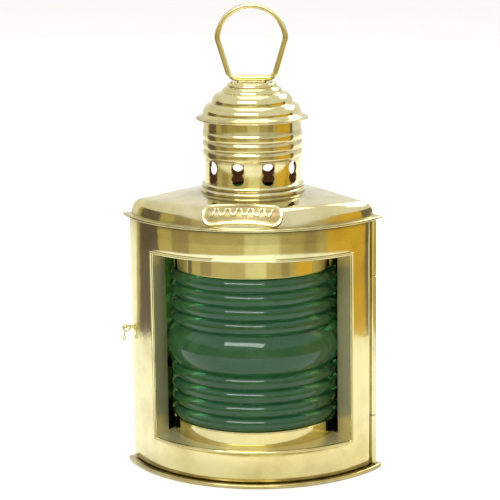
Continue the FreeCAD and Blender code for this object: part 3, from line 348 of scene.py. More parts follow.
@dataclass(frozen=True)
class CottonFinish:
    """Flat woven lamp wick, scorched at its top edge."""

    name: str
    scorch_level: float
    colour: tuple = (0.62, 0.57, 0.45)

    def build(self) -> bpy.types.Material:
        """Make the material."""
        graph = Graph(self.name)
        warp = graph.add("ShaderNodeTexWave", {"wave_type": "BANDS", "bands_direction": "X"},
                         {"Vector": graph.coordinates, "Scale": 320.0, "Distortion": 1.0}, "Fac")
        weft = graph.add("ShaderNodeTexWave", {"wave_type": "BANDS", "bands_direction": "Z"},
                         {"Vector": graph.coordinates, "Scale": 260.0, "Distortion": 1.0}, "Fac")
        weave = warp * weft
        height = graph.add("ShaderNodeSeparateXYZ", {}, {0: graph.coordinates}, 2)
        scorch = graph.steps((height - (self.scorch_level - 0.006)) / 0.006 + graph.noise(300.0) * 0.4,
                             (0.3, 0.0), (1.0, 1.0))
        colour = graph.blend(weave, (0.42, 0.36, 0.25), self.colour)
        colour = graph.blend(scorch, colour, (0.02, 0.016, 0.012))
        normal = graph.bump(weave, 0.0003)
        shader = graph.add("ShaderNodeBsdfPrincipled", {}, {
            "Base Color": colour, "Roughness": weave * 0.1 + 0.82, "Normal": normal}, "BSDF")
        return graph.finish(shader)


@dataclass(frozen=True)
class FloorFinish:
    """The pale sweep that the lamp stands on."""

    name: str
    colour: tuple = (0.90, 0.90, 0.89)
    shade: tuple = (0.84, 0.84, 0.82)

    def build(self) -> bpy.types.Material:
        """Make the material."""
        graph = Graph(self.name)
        mottle = graph.noise(6.0, 3.0)
        colour = graph.blend(mottle * 0.4, self.colour, self.shade)
        shader = graph.add("ShaderNodeBsdfPrincipled", {}, {
            "Base Color": colour, "Roughness": mottle * 0.1 + 0.6}, "BSDF")
        return graph.finish(shader)


# ---------------------------------------------------------------- bench work


def arc_points(start: Point, end: Point, radius: float, steps: int) -> list:
    """Points of the shorter arc between two points of a plane.

    Args:
        start: first point.
        end: last point.
        radius: positive where the arc turns left, negative where it turns right.
        steps: how many spans it has.

    Returns:
        The points after start, up to and with end.
    """
    a, b = Vector(start).to_2d(), Vector(end).to_2d()
    chord = b - a
    half = chord.length / 2
    left = Vector((-chord.y, chord.x)).normalized()
    rise = math.sqrt(max(radius * radius - half * half, 0.0))
    centre = (a + b) / 2 + left * math.copysign(rise, radius)
    first = math.atan2(a.y - centre.y, a.x - centre.x)
    sweep = 2 * math.asin(min(half / abs(radius), 1.0)) * math.copysign(1.0, radius)
    reach = abs(radius)
    return [(centre.x + reach * math.cos(first + sweep * k / steps),
             centre.y + reach * math.sin(first + sweep * k / steps)) for k in range(1, steps + 1)]


def profile(corners: Sequence[tuple], closed: bool = False, steps: int = 8) -> list:
    """A plane outline of lines and arcs.

    Args:
        corners: points (x, y) or (x, y, radius), where a radius makes the span after it an arc.
        closed: True if the last corner joins the first.
        steps: spans in each arc.

    Returns:
        The points of the outline.
    """
    points = [tuple(corners[0][:2])]
    count = len(corners) if closed else len(corners) - 1
    for k in range(count):
        corner, following = corners[k], corners[(k + 1) % len(corners)]
        if len(corner) == 3:
            points += arc_points(corner[:2], following[:2], corner[2], steps)
        else:
            points.append(tuple(following[:2]))
    return points[:-1] if closed else points


class Bench:
    """Modelling moves on one piece at a time, as made by hand with the edit-mode tools."""

    @staticmethod
    def clear() -> None:
        """Leave edit mode and deselect everything."""
        if bpy.context.object and bpy.context.object.mode != "OBJECT":
            bpy.ops.object.mode_set(mode="OBJECT")
        bpy.ops.object.select_all(action="DESELECT")

    @staticmethod
    def edit(obj: bpy.types.Object, everything: bool = True) -> None:
        """Open a piece in edit mode.

        Args:
            obj: the piece.
            everything: True to select all of it.
        """
        Bench.clear()
        obj.select_set(True)
        bpy.context.view_layer.objects.active = obj
        bpy.ops.object.mode_set(mode="EDIT")
        bpy.ops.mesh.select_mode(type="VERT")
        bpy.ops.mesh.select_all(action="SELECT" if everything else "DESELECT")

    @staticmethod
    def rest() -> None:
        """Leave edit mode."""
        bpy.ops.object.mode_set(mode="OBJECT")

    @staticmethod
    def trace(name: str, points: Sequence[Point], closed: bool = False,
              fill: bool = False) -> bpy.types.Object:
        """Draw a chain of edges by extruding one vertex from point to point.

        Args:
            name: the piece's name.
            points: the corners in space.
            closed: True to join the last point to the first.
            fill: True to fill the closed chain with a face.

        Returns:
            The piece, in edit mode with all of it selected.
        """
        Bench.clear()
        bpy.ops.mesh.primitive_plane_add(size=0.001, location=(0, 0, 0))
        obj = bpy.context.object
        obj.name = name
        obj.data.name = name
        Bench.edit(obj)
        bpy.ops.mesh.merge(type="CENTER")
        bpy.ops.transform.translate(value=points[0])
        for before, after in zip(points, points[1:]):
            step = [b - a for a, b in zip(before, after)]
            bpy.ops.mesh.extrude_vertices_move(TRANSFORM_OT_translate={"value": step})
        bpy.ops.mesh.select_all(action="DESELECT")
        if closed:
            Bench.rest()
            obj.data.vertices[0].select = True
            obj.data.vertices[len(points) - 1].select = True
            bpy.ops.object.mode_set(mode="EDIT")
            bpy.ops.mesh.edge_face_add()
        bpy.ops.mesh.select_all(action="SELECT")
        if fill:
            bpy.ops.mesh.edge_face_add()
        return obj

    @staticmethod
    def heal() -> None:
        """Merge doubles and turn every face outwards, in edit mode."""
        bpy.ops.mesh.select_all(action="SELECT")
        bpy.ops.mesh.remove_doubles(threshold=1e-6)
        bpy.ops.mesh.normals_make_consistent(inside=False)

    @staticmethod
    def lathe(name: str, section: Sequence[tuple], centre: Point = (0, 0, 0), closed: bool = False,
              steps: int = 96, start: float = 0.0, angle: float = math.tau) -> bpy.types.Object:
        """Spin a section of (radius, height) pairs about an upright axis.

        Args:
            name: the piece's name.
            section: the section's points.
            centre: a point on the axis.
            closed: True if the section is a closed ring.
            steps: spans round the axis.
            start: first angle, counted from -Y towards +X.
            angle: how far it goes.

        Returns:
            The piece, in object mode.
        """
        points = [(centre[0] + r * math.sin(start), centre[1] - r * math.cos(start), centre[2] + z)
                  for r, z in section]
        obj = Bench.trace(name, points, closed)
        bpy.ops.mesh.spin(steps=steps, angle=-angle, center=centre, axis=(0, 0, 1), use_auto_merge=False)
        Bench.heal()
        if closed and angle < math.tau - 0.01:
            bpy.ops.mesh.fill_holes(sides=0)
            Bench.heal()
        Bench.rest()
        return obj

    @staticmethod
    def pick(obj: bpy.types.Object, kind: str, test: Callable[[Vector], bool]) -> None:
        """Select parts of a mesh whose centre passes a test, and open the piece in edit mode.

        Args:
            obj: the piece, in object mode.
            kind: VERT, EDGE or FACE.
            test: the test of a centre.
        """
        Bench.edit(obj, everything=False)
        bpy.ops.mesh.select_mode(type=kind)
        Bench.rest()
        mesh = obj.data
        if kind == "VERT":
            for vertex in mesh.vertices:
                vertex.select = test(vertex.co)
        elif kind == "EDGE":
            for edge in mesh.edges:
                ends = [mesh.vertices[k].co for k in edge.vertices]
                edge.select = test((ends[0] + ends[1]) / 2)
        else:
            for face in mesh.polygons:
                face.select = test(face.center)
        bpy.ops.object.mode_set(mode="EDIT")

    @staticmethod
    def raise_by(step: Point) -> None:
        """Extrude the selection by a step."""
        bpy.ops.mesh.extrude_region_move(TRANSFORM_OT_translate={"value": step})

    @staticmethod
    def modify(obj: bpy.types.Object, kind: str, **settings: object) -> None:
        """Add a modifier and apply it.

        Args:
            obj: the piece, in object mode.
            kind: the modifier's type.
            settings: its settings.
        """
        Bench.clear()
        obj.select_set(True)
        bpy.context.view_layer.objects.active = obj
        modifier = obj.modifiers.new(kind.lower(), kind)
        for key, setting in settings.items():
            setattr(modifier, key, setting)
        bpy.ops.object.modifier_apply(modifier=modifier.name)

    @staticmethod
    def face_away(obj: bpy.types.Object, axis: Point) -> None:
        """Turn an open sheet's faces away from an upright axis.

        Args:
            obj: the sheet, in object mode.
            axis: a point on the axis.
        """
        total = sum((face.center - Vector(axis)).to_2d().dot(face.normal.to_2d()) * face.area
                    for face in obj.data.polygons)
        if total < 0:
            Bench.flip(obj)

    @staticmethod
    def face_up(obj: bpy.types.Object) -> None:
        """Turn an open sheet's faces upwards."""
        if sum(face.normal.z * face.area for face in obj.data.polygons) < 0:
            Bench.flip(obj)

    @staticmethod
    def flip(obj: bpy.types.Object) -> None:
        """Turn every face of a sheet over."""
        Bench.edit(obj)
        bpy.ops.mesh.flip_normals()
        Bench.rest()

    @staticmethod
    def soften(obj: bpy.types.Object, width: float, segments: int = 2, angle: float = 35.0) -> None:
        """Bevel the sharp edges of a piece.

        Args:
            obj: the piece.
            width: bevel width.
            segments: spans across it.
            angle: the sharpness above which an edge is bevelled, in degrees.
        """
        Bench.modify(obj, "BEVEL", width=width, segments=segments, limit_method="ANGLE",
                     angle_limit=math.radians(angle), use_clamp_overlap=True)

    @staticmethod
    def thicken(obj: bpy.types.Object, sheet: float) -> None:
        """Give a sheet its wall, inwards."""
        Bench.modify(obj, "SOLIDIFY", thickness=sheet, offset=-1.0, use_even_offset=True)

    @staticmethod
    def wire(name: str, points: Sequence[Point], radius: float, closed: bool = False,
             resolution: int = 6) -> bpy.types.Object:
        """A round wire along a path.

        Args:
            name: the piece's name.
            points: the path.
            radius: the wire's radius.
            closed: True for a ring.
            resolution: roundness of the wire.

        Returns:
            The wire as a mesh, in object mode.
        """
        obj = Bench.trace(name, points, closed)
        Bench.rest()
        bpy.ops.object.convert(target="CURVE")
        obj.data.dimensions = "3D"
        obj.data.bevel_depth = radius
        obj.data.bevel_resolution = resolution
        obj.data.use_fill_caps = True
        bpy.ops.object.convert(target="MESH")
        Bench.edit(obj)
        Bench.heal()
        Bench.rest()
        return obj

    @staticmethod
    def box(name: str, low: Point, high: Point) -> bpy.types.Object:
        """A block between two corners.

        Args:
            name: the piece's name.
            low: lowest corner.
            high: highest corner.

        Returns:
            The block, in object mode.
        """
        corners = [(low[0], low[1], low[2]), (high[0], low[1], low[2]), (high[0], high[1], low[2]),
                   (low[0], high[1], low[2])]
        obj = Bench.trace(name, corners, closed=True, fill=True)
        Bench.raise_by((0, 0, high[2] - low[2]))
        Bench.heal()
        Bench.rest()
        return obj

    @staticmethod
    def join(parts: Sequence[bpy.types.Object]) -> bpy.types.Object:
        """Join pieces into the first one and return it."""
        Bench.clear()
        for part in parts:
            part.select_set(True)
        bpy.context.view_layer.objects.active = parts[0]
        bpy.ops.object.join()
        return parts[0]

    @staticmethod
    def turn(obj: bpy.types.Object, matrix: Matrix) -> bpy.types.Object:
        """Move a mesh by a matrix, leaving its object at the origin."""
        Bench.clear()
        obj.select_set(True)
        bpy.context.view_layer.objects.active = obj
        obj.matrix_world = matrix
        bpy.ops.object.transform_apply(location=True, rotation=True, scale=True)
        return obj

    @staticmethod
    def copy(obj: bpy.types.Object, matrix: Matrix) -> bpy.types.Object:
        """A copy of a piece with its own mesh, moved by a matrix."""
        twin = obj.copy()
        twin.data = obj.data.copy()
        bpy.context.scene.collection.objects.link(twin)
        return Bench.turn(twin, matrix)


class Assembly:
    """What every sub-assembly does with a finished piece."""

    def hand_over(self, obj: bpy.types.Object, body: Body, slot: Slot, finish: bpy.types.Material,
                  nodes: Iterable[str] = (), smooth: float = 35.0) -> bpy.types.Object:
        """Shade, dress and place a piece on its body.

        Args:
            obj: the piece.
            body: the body that it rides on.
            slot: not used.
            finish: its material.
            nodes: the frame's nodes that it stands for.
            smooth: edges flatter than this, in degrees, are shaded smooth.

        Returns:
            The piece.
        """
        Bench.clear()
        obj.select_set(True)
        bpy.context.view_layer.objects.active = obj
        bpy.ops.object.shade_smooth_by_angle(angle=math.radians(smooth))
        obj.data.materials.clear()
        obj.data.materials.append(finish)
        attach(obj, body.value)
        if nodes:
            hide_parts(*nodes)
        log.info("%s: %d faces on %s", obj.name, len(obj.data.polygons), body.value)
        return obj

    def refine(self, node: str, body: Body, slot: Slot, finish: bpy.types.Material,
               bevel: float = 0.0, smooth: float = 28.0) -> bpy.types.Object:
        """Stand a merged, edge-softened copy in for a node of the frame.

        Args:
            node: the node.
            body: the body that it rides on.
            slot: the record's slot.
            finish: its material.
            bevel: width of the softened edges, or 0 for none.
            smooth: edges flatter than this, in degrees, are shaded smooth.

        Returns:
            The piece.
        """
        Bench.clear()
        obj = bpy.data.objects.new(node + "_made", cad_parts[node].data.copy())
        bpy.context.scene.collection.objects.link(obj)
        Bench.edit(obj)
        bpy.ops.mesh.remove_doubles(threshold=2e-6)
        bpy.ops.mesh.dissolve_limited(angle_limit=math.radians(0.8))
        Bench.rest()
        if bevel:
            Bench.soften(obj, bevel, 2, 40.0)
        return self.hand_over(obj, body, slot, finish, (node,), smooth)


# ---------------------------------------------------------------- the lamp


@dataclass
class Plan:
    """The plan of the case: a round front and two sides square to each other."""

    front: float = 0.0864
    centre_y: float = 0.0288
    side: float = 0.0484
    corner: float = 0.0190

    def side_end(self, front: float, side: float) -> tuple:
        """Where a flat side meets the round front.

        Args:
            front: radius of the front.
            side: distance of the side from the axis.

        Returns:
            The point on the right.
        """
        reach = side * math.sqrt(2)
        root = math.sqrt(2 * front ** 2 - (reach - self.centre_y) ** 2)
        return (reach - self.centre_y + root) / 2, (reach + self.centre_y - root) / 2

    def outline(self, front: float, side: float, corner: float, steps: int = 64) -> list:
        """The closed plan outline.

        Args:
            front: radius of the front.
            side: distance of the sides from the axis.
            corner: radius of the rear corner.
            steps: spans in each arc.

        Returns:
            Points (x, y), from the left end of the front.
        """
        end_x, end_y = self.side_end(front, side)
        reach = side * math.sqrt(2)
        across = corner / math.sqrt(2)
        return profile([(-end_x, end_y, front), (end_x, end_y), (across, reach - across, corner),
                        (-across, reach - across)], closed=True, steps=steps)

    def on_front(self, radius: float, angle: float) -> tuple:
        """A point of the round front, the angle in degrees from -Y."""
        turn = math.radians(angle)
        return radius * math.sin(turn), self.centre_y - radius * math.cos(turn)


@dataclass
class Finishes:
    """Every finish of the lamp, made once."""

    sheet: bpy.types.Material
    door: bpy.types.Material
    # lighter copy of the sheet brass: painted light for the shaded inner sheet
    inside: bpy.types.Material
    spun: bpy.types.Material
    scorched: bpy.types.Material
    ground: bpy.types.Material
    wire: bpy.types.Material
    burner: bpy.types.Material
    glass: bpy.types.Material
    cotton: bpy.types.Material

    @classmethod
    def make(cls) -> "Finishes":
        """Build the materials at the levels of the frame's own pieces."""
        drum_low, drum_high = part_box("chimney_drum")
        door_low, door_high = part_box("door_panel")
        roof_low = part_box("roof_dome")[0]
        wick_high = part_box("wick")[1]
        return cls(
            # the seams levels get painted shade where parts meet, partly as polish residue
            sheet=BrassFinish("sheet_brass_case", seams=(0.0, 0.0026, roof_low.z, drum_low.z)).build(),
            door=BrassFinish("sheet_brass_door", wave=0.00110, wave_size=17.0,
                             seams=(door_low.z, door_high.z)).build(),
            # painted light: a lighter, less metallic copy of the sheet brass, so that the shaded window
            # reveal, lips and clips read bright
            inside=BrassFinish("sheet_brass_inside_lightened", light=(0.74, 0.70, 0.44), deep=(0.68, 0.60, 0.29),
                               rough=0.32, tarnish=0.2, wave=0.0003, metal=0.72).build(),
            spun=BrassFinish("spun_brass_chimney", grain=Grain.ROUND, grain_depth=0.000006, wave=0.0002,
                             tarnish=0.45, seams=(drum_low.z + 0.003, drum_high.z, 0.2035, 0.2088, 0.1976,
                                                  0.2146)).build(),
            scorched=BrassFinish("heat_stained_copper", light=(0.78, 0.34, 0.17), deep=(0.60, 0.22, 0.10),
                                 stain_and_shade=(0.22, 0.08, 0.04), rough=0.42, tarnish=0.4, metal=0.35).build(),
            ground=BrassFinish("plate_ground", light=(0.40, 0.34, 0.17), deep=(0.30, 0.24, 0.10),
                               rough=0.36, tarnish=0.8).build(),
            wire=BrassFinish("drawn_brass_wire", grain=Grain.LOOSE, wave=0.0001, wave_size=90.0,
                             rough=0.2).build(),
            burner=BrassFinish("burner_brass_dull", light=(0.46, 0.33, 0.13), deep=(0.34, 0.21, 0.08),
                               stain_and_shade=(0.09, 0.055, 0.03), rough=0.30, tarnish=0.6, grain=Grain.ROUND,
                               wave=0.0002).build(),
            glass=GlassFinish("green_lens_glass").build(),
            cotton=CottonFinish("cotton_wick", wick_high.z).build(),
        )


@dataclass
class Case(Assembly):
    """Base, rear casing, brim, roof dome and the cartouche on it."""

    plan: Plan
    finishes: Finishes
    flange_front: float = 0.0040
    flange_side: float = 0.0030
    base_roll: float = 0.0011
    brim_roll: float = 0.0008
    brim_opening: float = 0.0040
    sheet: float = 0.0010
    gap: float = 0.0005
    roof_inset: float = 0.0010
    taper: float = math.radians(14.0)
    slope: float = math.radians(7.0)
    shoulder: float = 0.0080
    drum_radius: float = 0.0306
    plate_half: float = 0.0246
    plate_height: float = 0.0130
    plate_tilt: float = math.radians(40.0)
    plate_place: tuple = (0.0, -0.0530, 0.1710)

    def build(self) -> None:
        """Make every piece of the case."""
        self.flange("base_flange", "base_plate", self.base_roll)
        self.flange("brim_flange", "roof_brim", self.brim_roll)
        self.casing()
        self.cartouche(self.dome())
        for node in ("base_lip", "roof_lip"):
            self.refine(node, Body.CASE, Slot.SHEET, self.finishes.inside)
        for node in ("bracket_lower", "bracket_upper"):
            self.refine(node, Body.CASE, Slot.SHEET, self.finishes.sheet, 0.0003)
        self.refine("bracket_rivets", Body.CASE, Slot.WIRE, self.finishes.wire)

    def flange(self, name: str, node: str, roll: float) -> None:
        """A flat flange with a rolled rim.

        Args:
            name: the piece's name.
            node: the node that it stands for.
            roll: radius of the rolled edge.
        """
        low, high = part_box(node)
        outline = self.plan.outline(self.plan.front + self.flange_front, self.plan.side + self.flange_side,
                                    self.plan.corner + self.flange_side)
        obj = Bench.trace(name, [(x, y, low.z) for x, y in outline], closed=True, fill=True)
        Bench.raise_by((0, 0, high.z - low.z))
        Bench.heal()
        Bench.rest()
        Bench.soften(obj, roll, 5, 60.0)
        if node == "roof_brim":
            cut = self.brim_opening
            inner = self.plan.outline(self.plan.front - cut, self.plan.side - cut, self.plan.corner - cut)
            cutter = Bench.trace("brim_opening", [(x, y, low.z - 0.001) for x, y in inner], closed=True,
                                 fill=True)
            Bench.raise_by((0, 0, 0.006))
            Bench.heal()
            Bench.rest()
            Bench.modify(obj, "BOOLEAN", operation="DIFFERENCE", object=cutter, solver="EXACT")
            bpy.data.objects.remove(cutter)
        self.hand_over(obj, Body.CASE, Slot.SHEET, self.finishes.sheet, (node,))

    def casing(self) -> None:
        """The bent sheet of the rear and the stop that the door shuts on."""
        low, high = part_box("rear_casing")
        jamb = self.plan.front - self.sheet - self.gap
        end_x, end_y = self.plan.side_end(jamb, self.plan.side)
        reach = self.plan.side * math.sqrt(2)
        across = self.plan.corner / math.sqrt(2)
        path = profile([(end_x, end_y), (across, reach - across, self.plan.corner), (-across, reach - across),
                        (-end_x, end_y)], steps=24)
        shell = Bench.trace("rear_casing_sheet", [(x, y, low.z) for x, y in path])
        Bench.raise_by((0, 0, high.z - low.z))
        Bench.rest()
        Bench.face_away(shell, (0, 0.01, 0))
        Bench.thicken(shell, self.sheet)
        left = -math.degrees(math.asin(end_x / jamb))
        arc = [self.plan.on_front(jamb, left + (-59.0 - left) * k / 6) for k in range(7)]
        stop = Bench.trace("door_stop", [(x, y, low.z) for x, y in arc])
        Bench.raise_by((0, 0, high.z - low.z))
        Bench.rest()
        Bench.face_away(stop, (0, self.plan.centre_y, 0))
        Bench.thicken(stop, self.sheet)
        shell = Bench.join([shell, stop])
        Bench.soften(shell, 0.0002, 2, 60.0)
        self.hand_over(shell, Body.CASE, Slot.SHEET, self.finishes.sheet, ("rear_casing",))

    def top_height(self, x: float, y: float) -> float:
        """Height of the roof's conical top over a point."""
        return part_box("chimney_collar")[0].z - math.tan(self.slope) * (math.hypot(x, y) - self.drum_radius)

    def section(self, foot: Vector, inward: Vector, base: float, steps: int) -> list:
        """The roof's section at one point of its foot: leaning side, then the rounded shoulder.

        Args:
            foot: the point of the foot in plan.
            inward: the level direction into the roof.
            base: height of the foot.
            steps: spans round the shoulder.

        Returns:
            Points (distance inwards, height).
        """
        lean = Vector((math.sin(self.taper), math.cos(self.taper)))
        near, far = foot + inward * 0.004, foot + inward * 0.012
        rise_near, rise_far = self.top_height(*near), self.top_height(*far)
        grade = (rise_far - rise_near) / 0.008
        level = rise_near - grade * 0.004 - base
        along = level / (lean.y - grade * lean.x)
        knee = lean * along
        flat = Vector((1.0, grade)).normalized()
        bend = math.acos(max(-1.0, min(1.0, lean.dot(flat))))
        cut = min(self.shoulder * math.tan(bend / 2), along * 0.98)
        radius = cut / math.tan(bend / 2)
        start, end = knee - lean * cut, knee + flat * cut
        arc = arc_points(start, end, -radius, steps)
        return [(0.0, base), (start.x * 0.5, base + start.y * 0.5), (start.x, base + start.y)] + [
            (d, base + z) for d, z in arc]

    def dome(self) -> bpy.types.Object:
        """The roof: leaning sides, a rounded shoulder and a gentle cone up to the chimney.

        Returns:
            The roof.
        """
        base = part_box("roof_dome")[0].z
        inset = self.roof_inset
        foot = [Vector(p) for p in self.plan.outline(self.plan.front - inset, self.plan.side - inset,
                                                     self.plan.corner - inset, 80)]
        dense: list = []
        for a, b in zip(foot, foot[1:] + foot[:1]):
            spans = max(1, int((b - a).length / 0.0035))
            dense += [a + (b - a) * k / spans for k in range(spans)]
        inner = self.inset_outline(dense, 0.010)
        sections = []
        for point, target in zip(dense, inner):
            sections.append(self.section(point, (target - point).normalized(), base, 9))
        loops = []
        for k in range(len(sections[0])):
            loops.append([tuple(p + (t - p).normalized() * s[k][0]) + (s[k][1],)
                          for p, t, s in zip(dense, inner, sections)])
        last = loops[-1]
        hole = self.drum_radius - 0.0008
        for share in (0.2, 0.4, 0.6, 0.8, 1.0):
            ring = []
            for x, y, _ in last:
                turn = math.atan2(y, x)
                px = x + (hole * math.cos(turn) - x) * share
                py = y + (hole * math.sin(turn) - y) * share
                ring.append((px, py, self.top_height(px, py)))
            loops.append(ring)
        rings = [self.ring(f"roof_ring_{k}", points) for k, points in enumerate(loops)]
        obj = Bench.join(rings)
        obj.name = "roof_dome_shell"
        Bench.edit(obj)
        bpy.ops.mesh.bridge_edge_loops()
        Bench.heal()
        Bench.rest()
        Bench.face_up(obj)
        Bench.thicken(obj, 0.0009)
        return self.hand_over(obj, Body.CASE, Slot.SHEET, self.finishes.sheet, ("roof_dome",), 50.0)

    @staticmethod
    def inset_outline(points: list, depth: float) -> list:
        """Points inwards from a closed plan outline, by a smoothed normal.

        Args:
            points: the outline.
            depth: how far in.

        Returns:
            One inner point for each outline point.
        """
        count = len(points)
        normals = []
        for k in range(count):
            along = points[(k + 1) % count] - points[k - 1]
            normals.append(Vector((-along.y, along.x)).normalized())
        result = []
        for k in range(count):
            blended = Vector((0, 0))
            for step in range(-3, 4):
                blended += normals[(k + step) % count]
            result.append(points[k] + blended.normalized() * depth)
        return result

    @staticmethod
    def ring(name: str, points: Sequence[Point]) -> bpy.types.Object:
        """A closed loop of edges through points, started as a circle of as many corners."""
        Bench.clear()
        bpy.ops.mesh.primitive_circle_add(vertices=len(points), radius=0.05)
        obj = bpy.context.object
        obj.name = name
        for vertex, point in zip(obj.data.vertices, points):
            vertex.co = point
        return obj

    def cartouche(self, roof: bpy.types.Object) -> None:
        """A generic oval plate with a raised border and a row of slanted bars, laid on the shoulder.

        Args:
            roof: the roof's mesh that it lies on.
        """
        half, tall = self.plate_half, self.plate_height / 2
        oval = profile([(-(half - tall), -tall), (half - tall, -tall, tall), (half, 0.0, tall),
                        (half - tall, tall), (-(half - tall), tall, tall), (-half, 0.0, tall)],
                       closed=True, steps=10)
        obj = Bench.trace("roof_cartouche", [(x, y, -0.0004) for x, y in oval], closed=True, fill=True)
        Bench.raise_by((0, 0, 0.0020))
        bpy.ops.mesh.inset(thickness=0.0013)
        bpy.ops.transform.translate(value=(0, 0, -0.0007))
        Bench.heal()
        Bench.rest()
        Bench.soften(obj, 0.0003, 3, 40.0)
        studs = []
        for k in range(11):
            stud = Bench.box("cartouche_stud", (-0.00075, -0.0030, 0.0006), (0.00075, 0.0030, 0.0015))
            Bench.soften(stud, 0.0003, 2)
            lean = Matrix.Rotation(math.radians(24.0 if k % 2 else -24.0), 4, "Z")
            studs.append(Bench.turn(stud, Matrix.Translation(((k - 5) * 0.0035, 0.0, 0.0)) @ lean))
        obj = Bench.join([obj] + studs)
        Bench.edit(obj)
        for k in range(1, 24):
            bpy.ops.mesh.select_all(action="SELECT")
            bpy.ops.mesh.bisect(plane_co=(-half + 2 * half * k / 24, 0, 0), plane_no=(1, 0, 0))
        for k in range(1, 10):
            bpy.ops.mesh.select_all(action="SELECT")
            bpy.ops.mesh.bisect(plane_co=(0, -tall + 2 * tall * k / 10, 0), plane_no=(0, 1, 0))
        Bench.rest()
        for face in obj.data.polygons:
            face.material_index = int(0.0003 < face.center.z < 0.0011 and face.normal.z > 0.95)
        up = Vector((0, math.cos(self.plate_tilt), math.sin(self.plate_tilt)))
        away = Vector((0, -math.sin(self.plate_tilt), math.cos(self.plate_tilt)))
        for vertex in obj.data.vertices:
            start = Vector(self.plate_place) + Vector((vertex.co.x, 0, 0)) + up * vertex.co.y + away * 0.03
            met, place, _, _ = roof.ray_cast(start, -away)
            if met:
                vertex.co = place + away * vertex.co.z
        sunk = [face.material_index for face in obj.data.polygons]
        self.hand_over(obj, Body.CASE, Slot.SHEET, self.finishes.wire, ("name_plate",), 45.0)
        obj.data.materials.append(self.finishes.ground)
        obj.data.polygons.foreach_set("material_index", sunk)


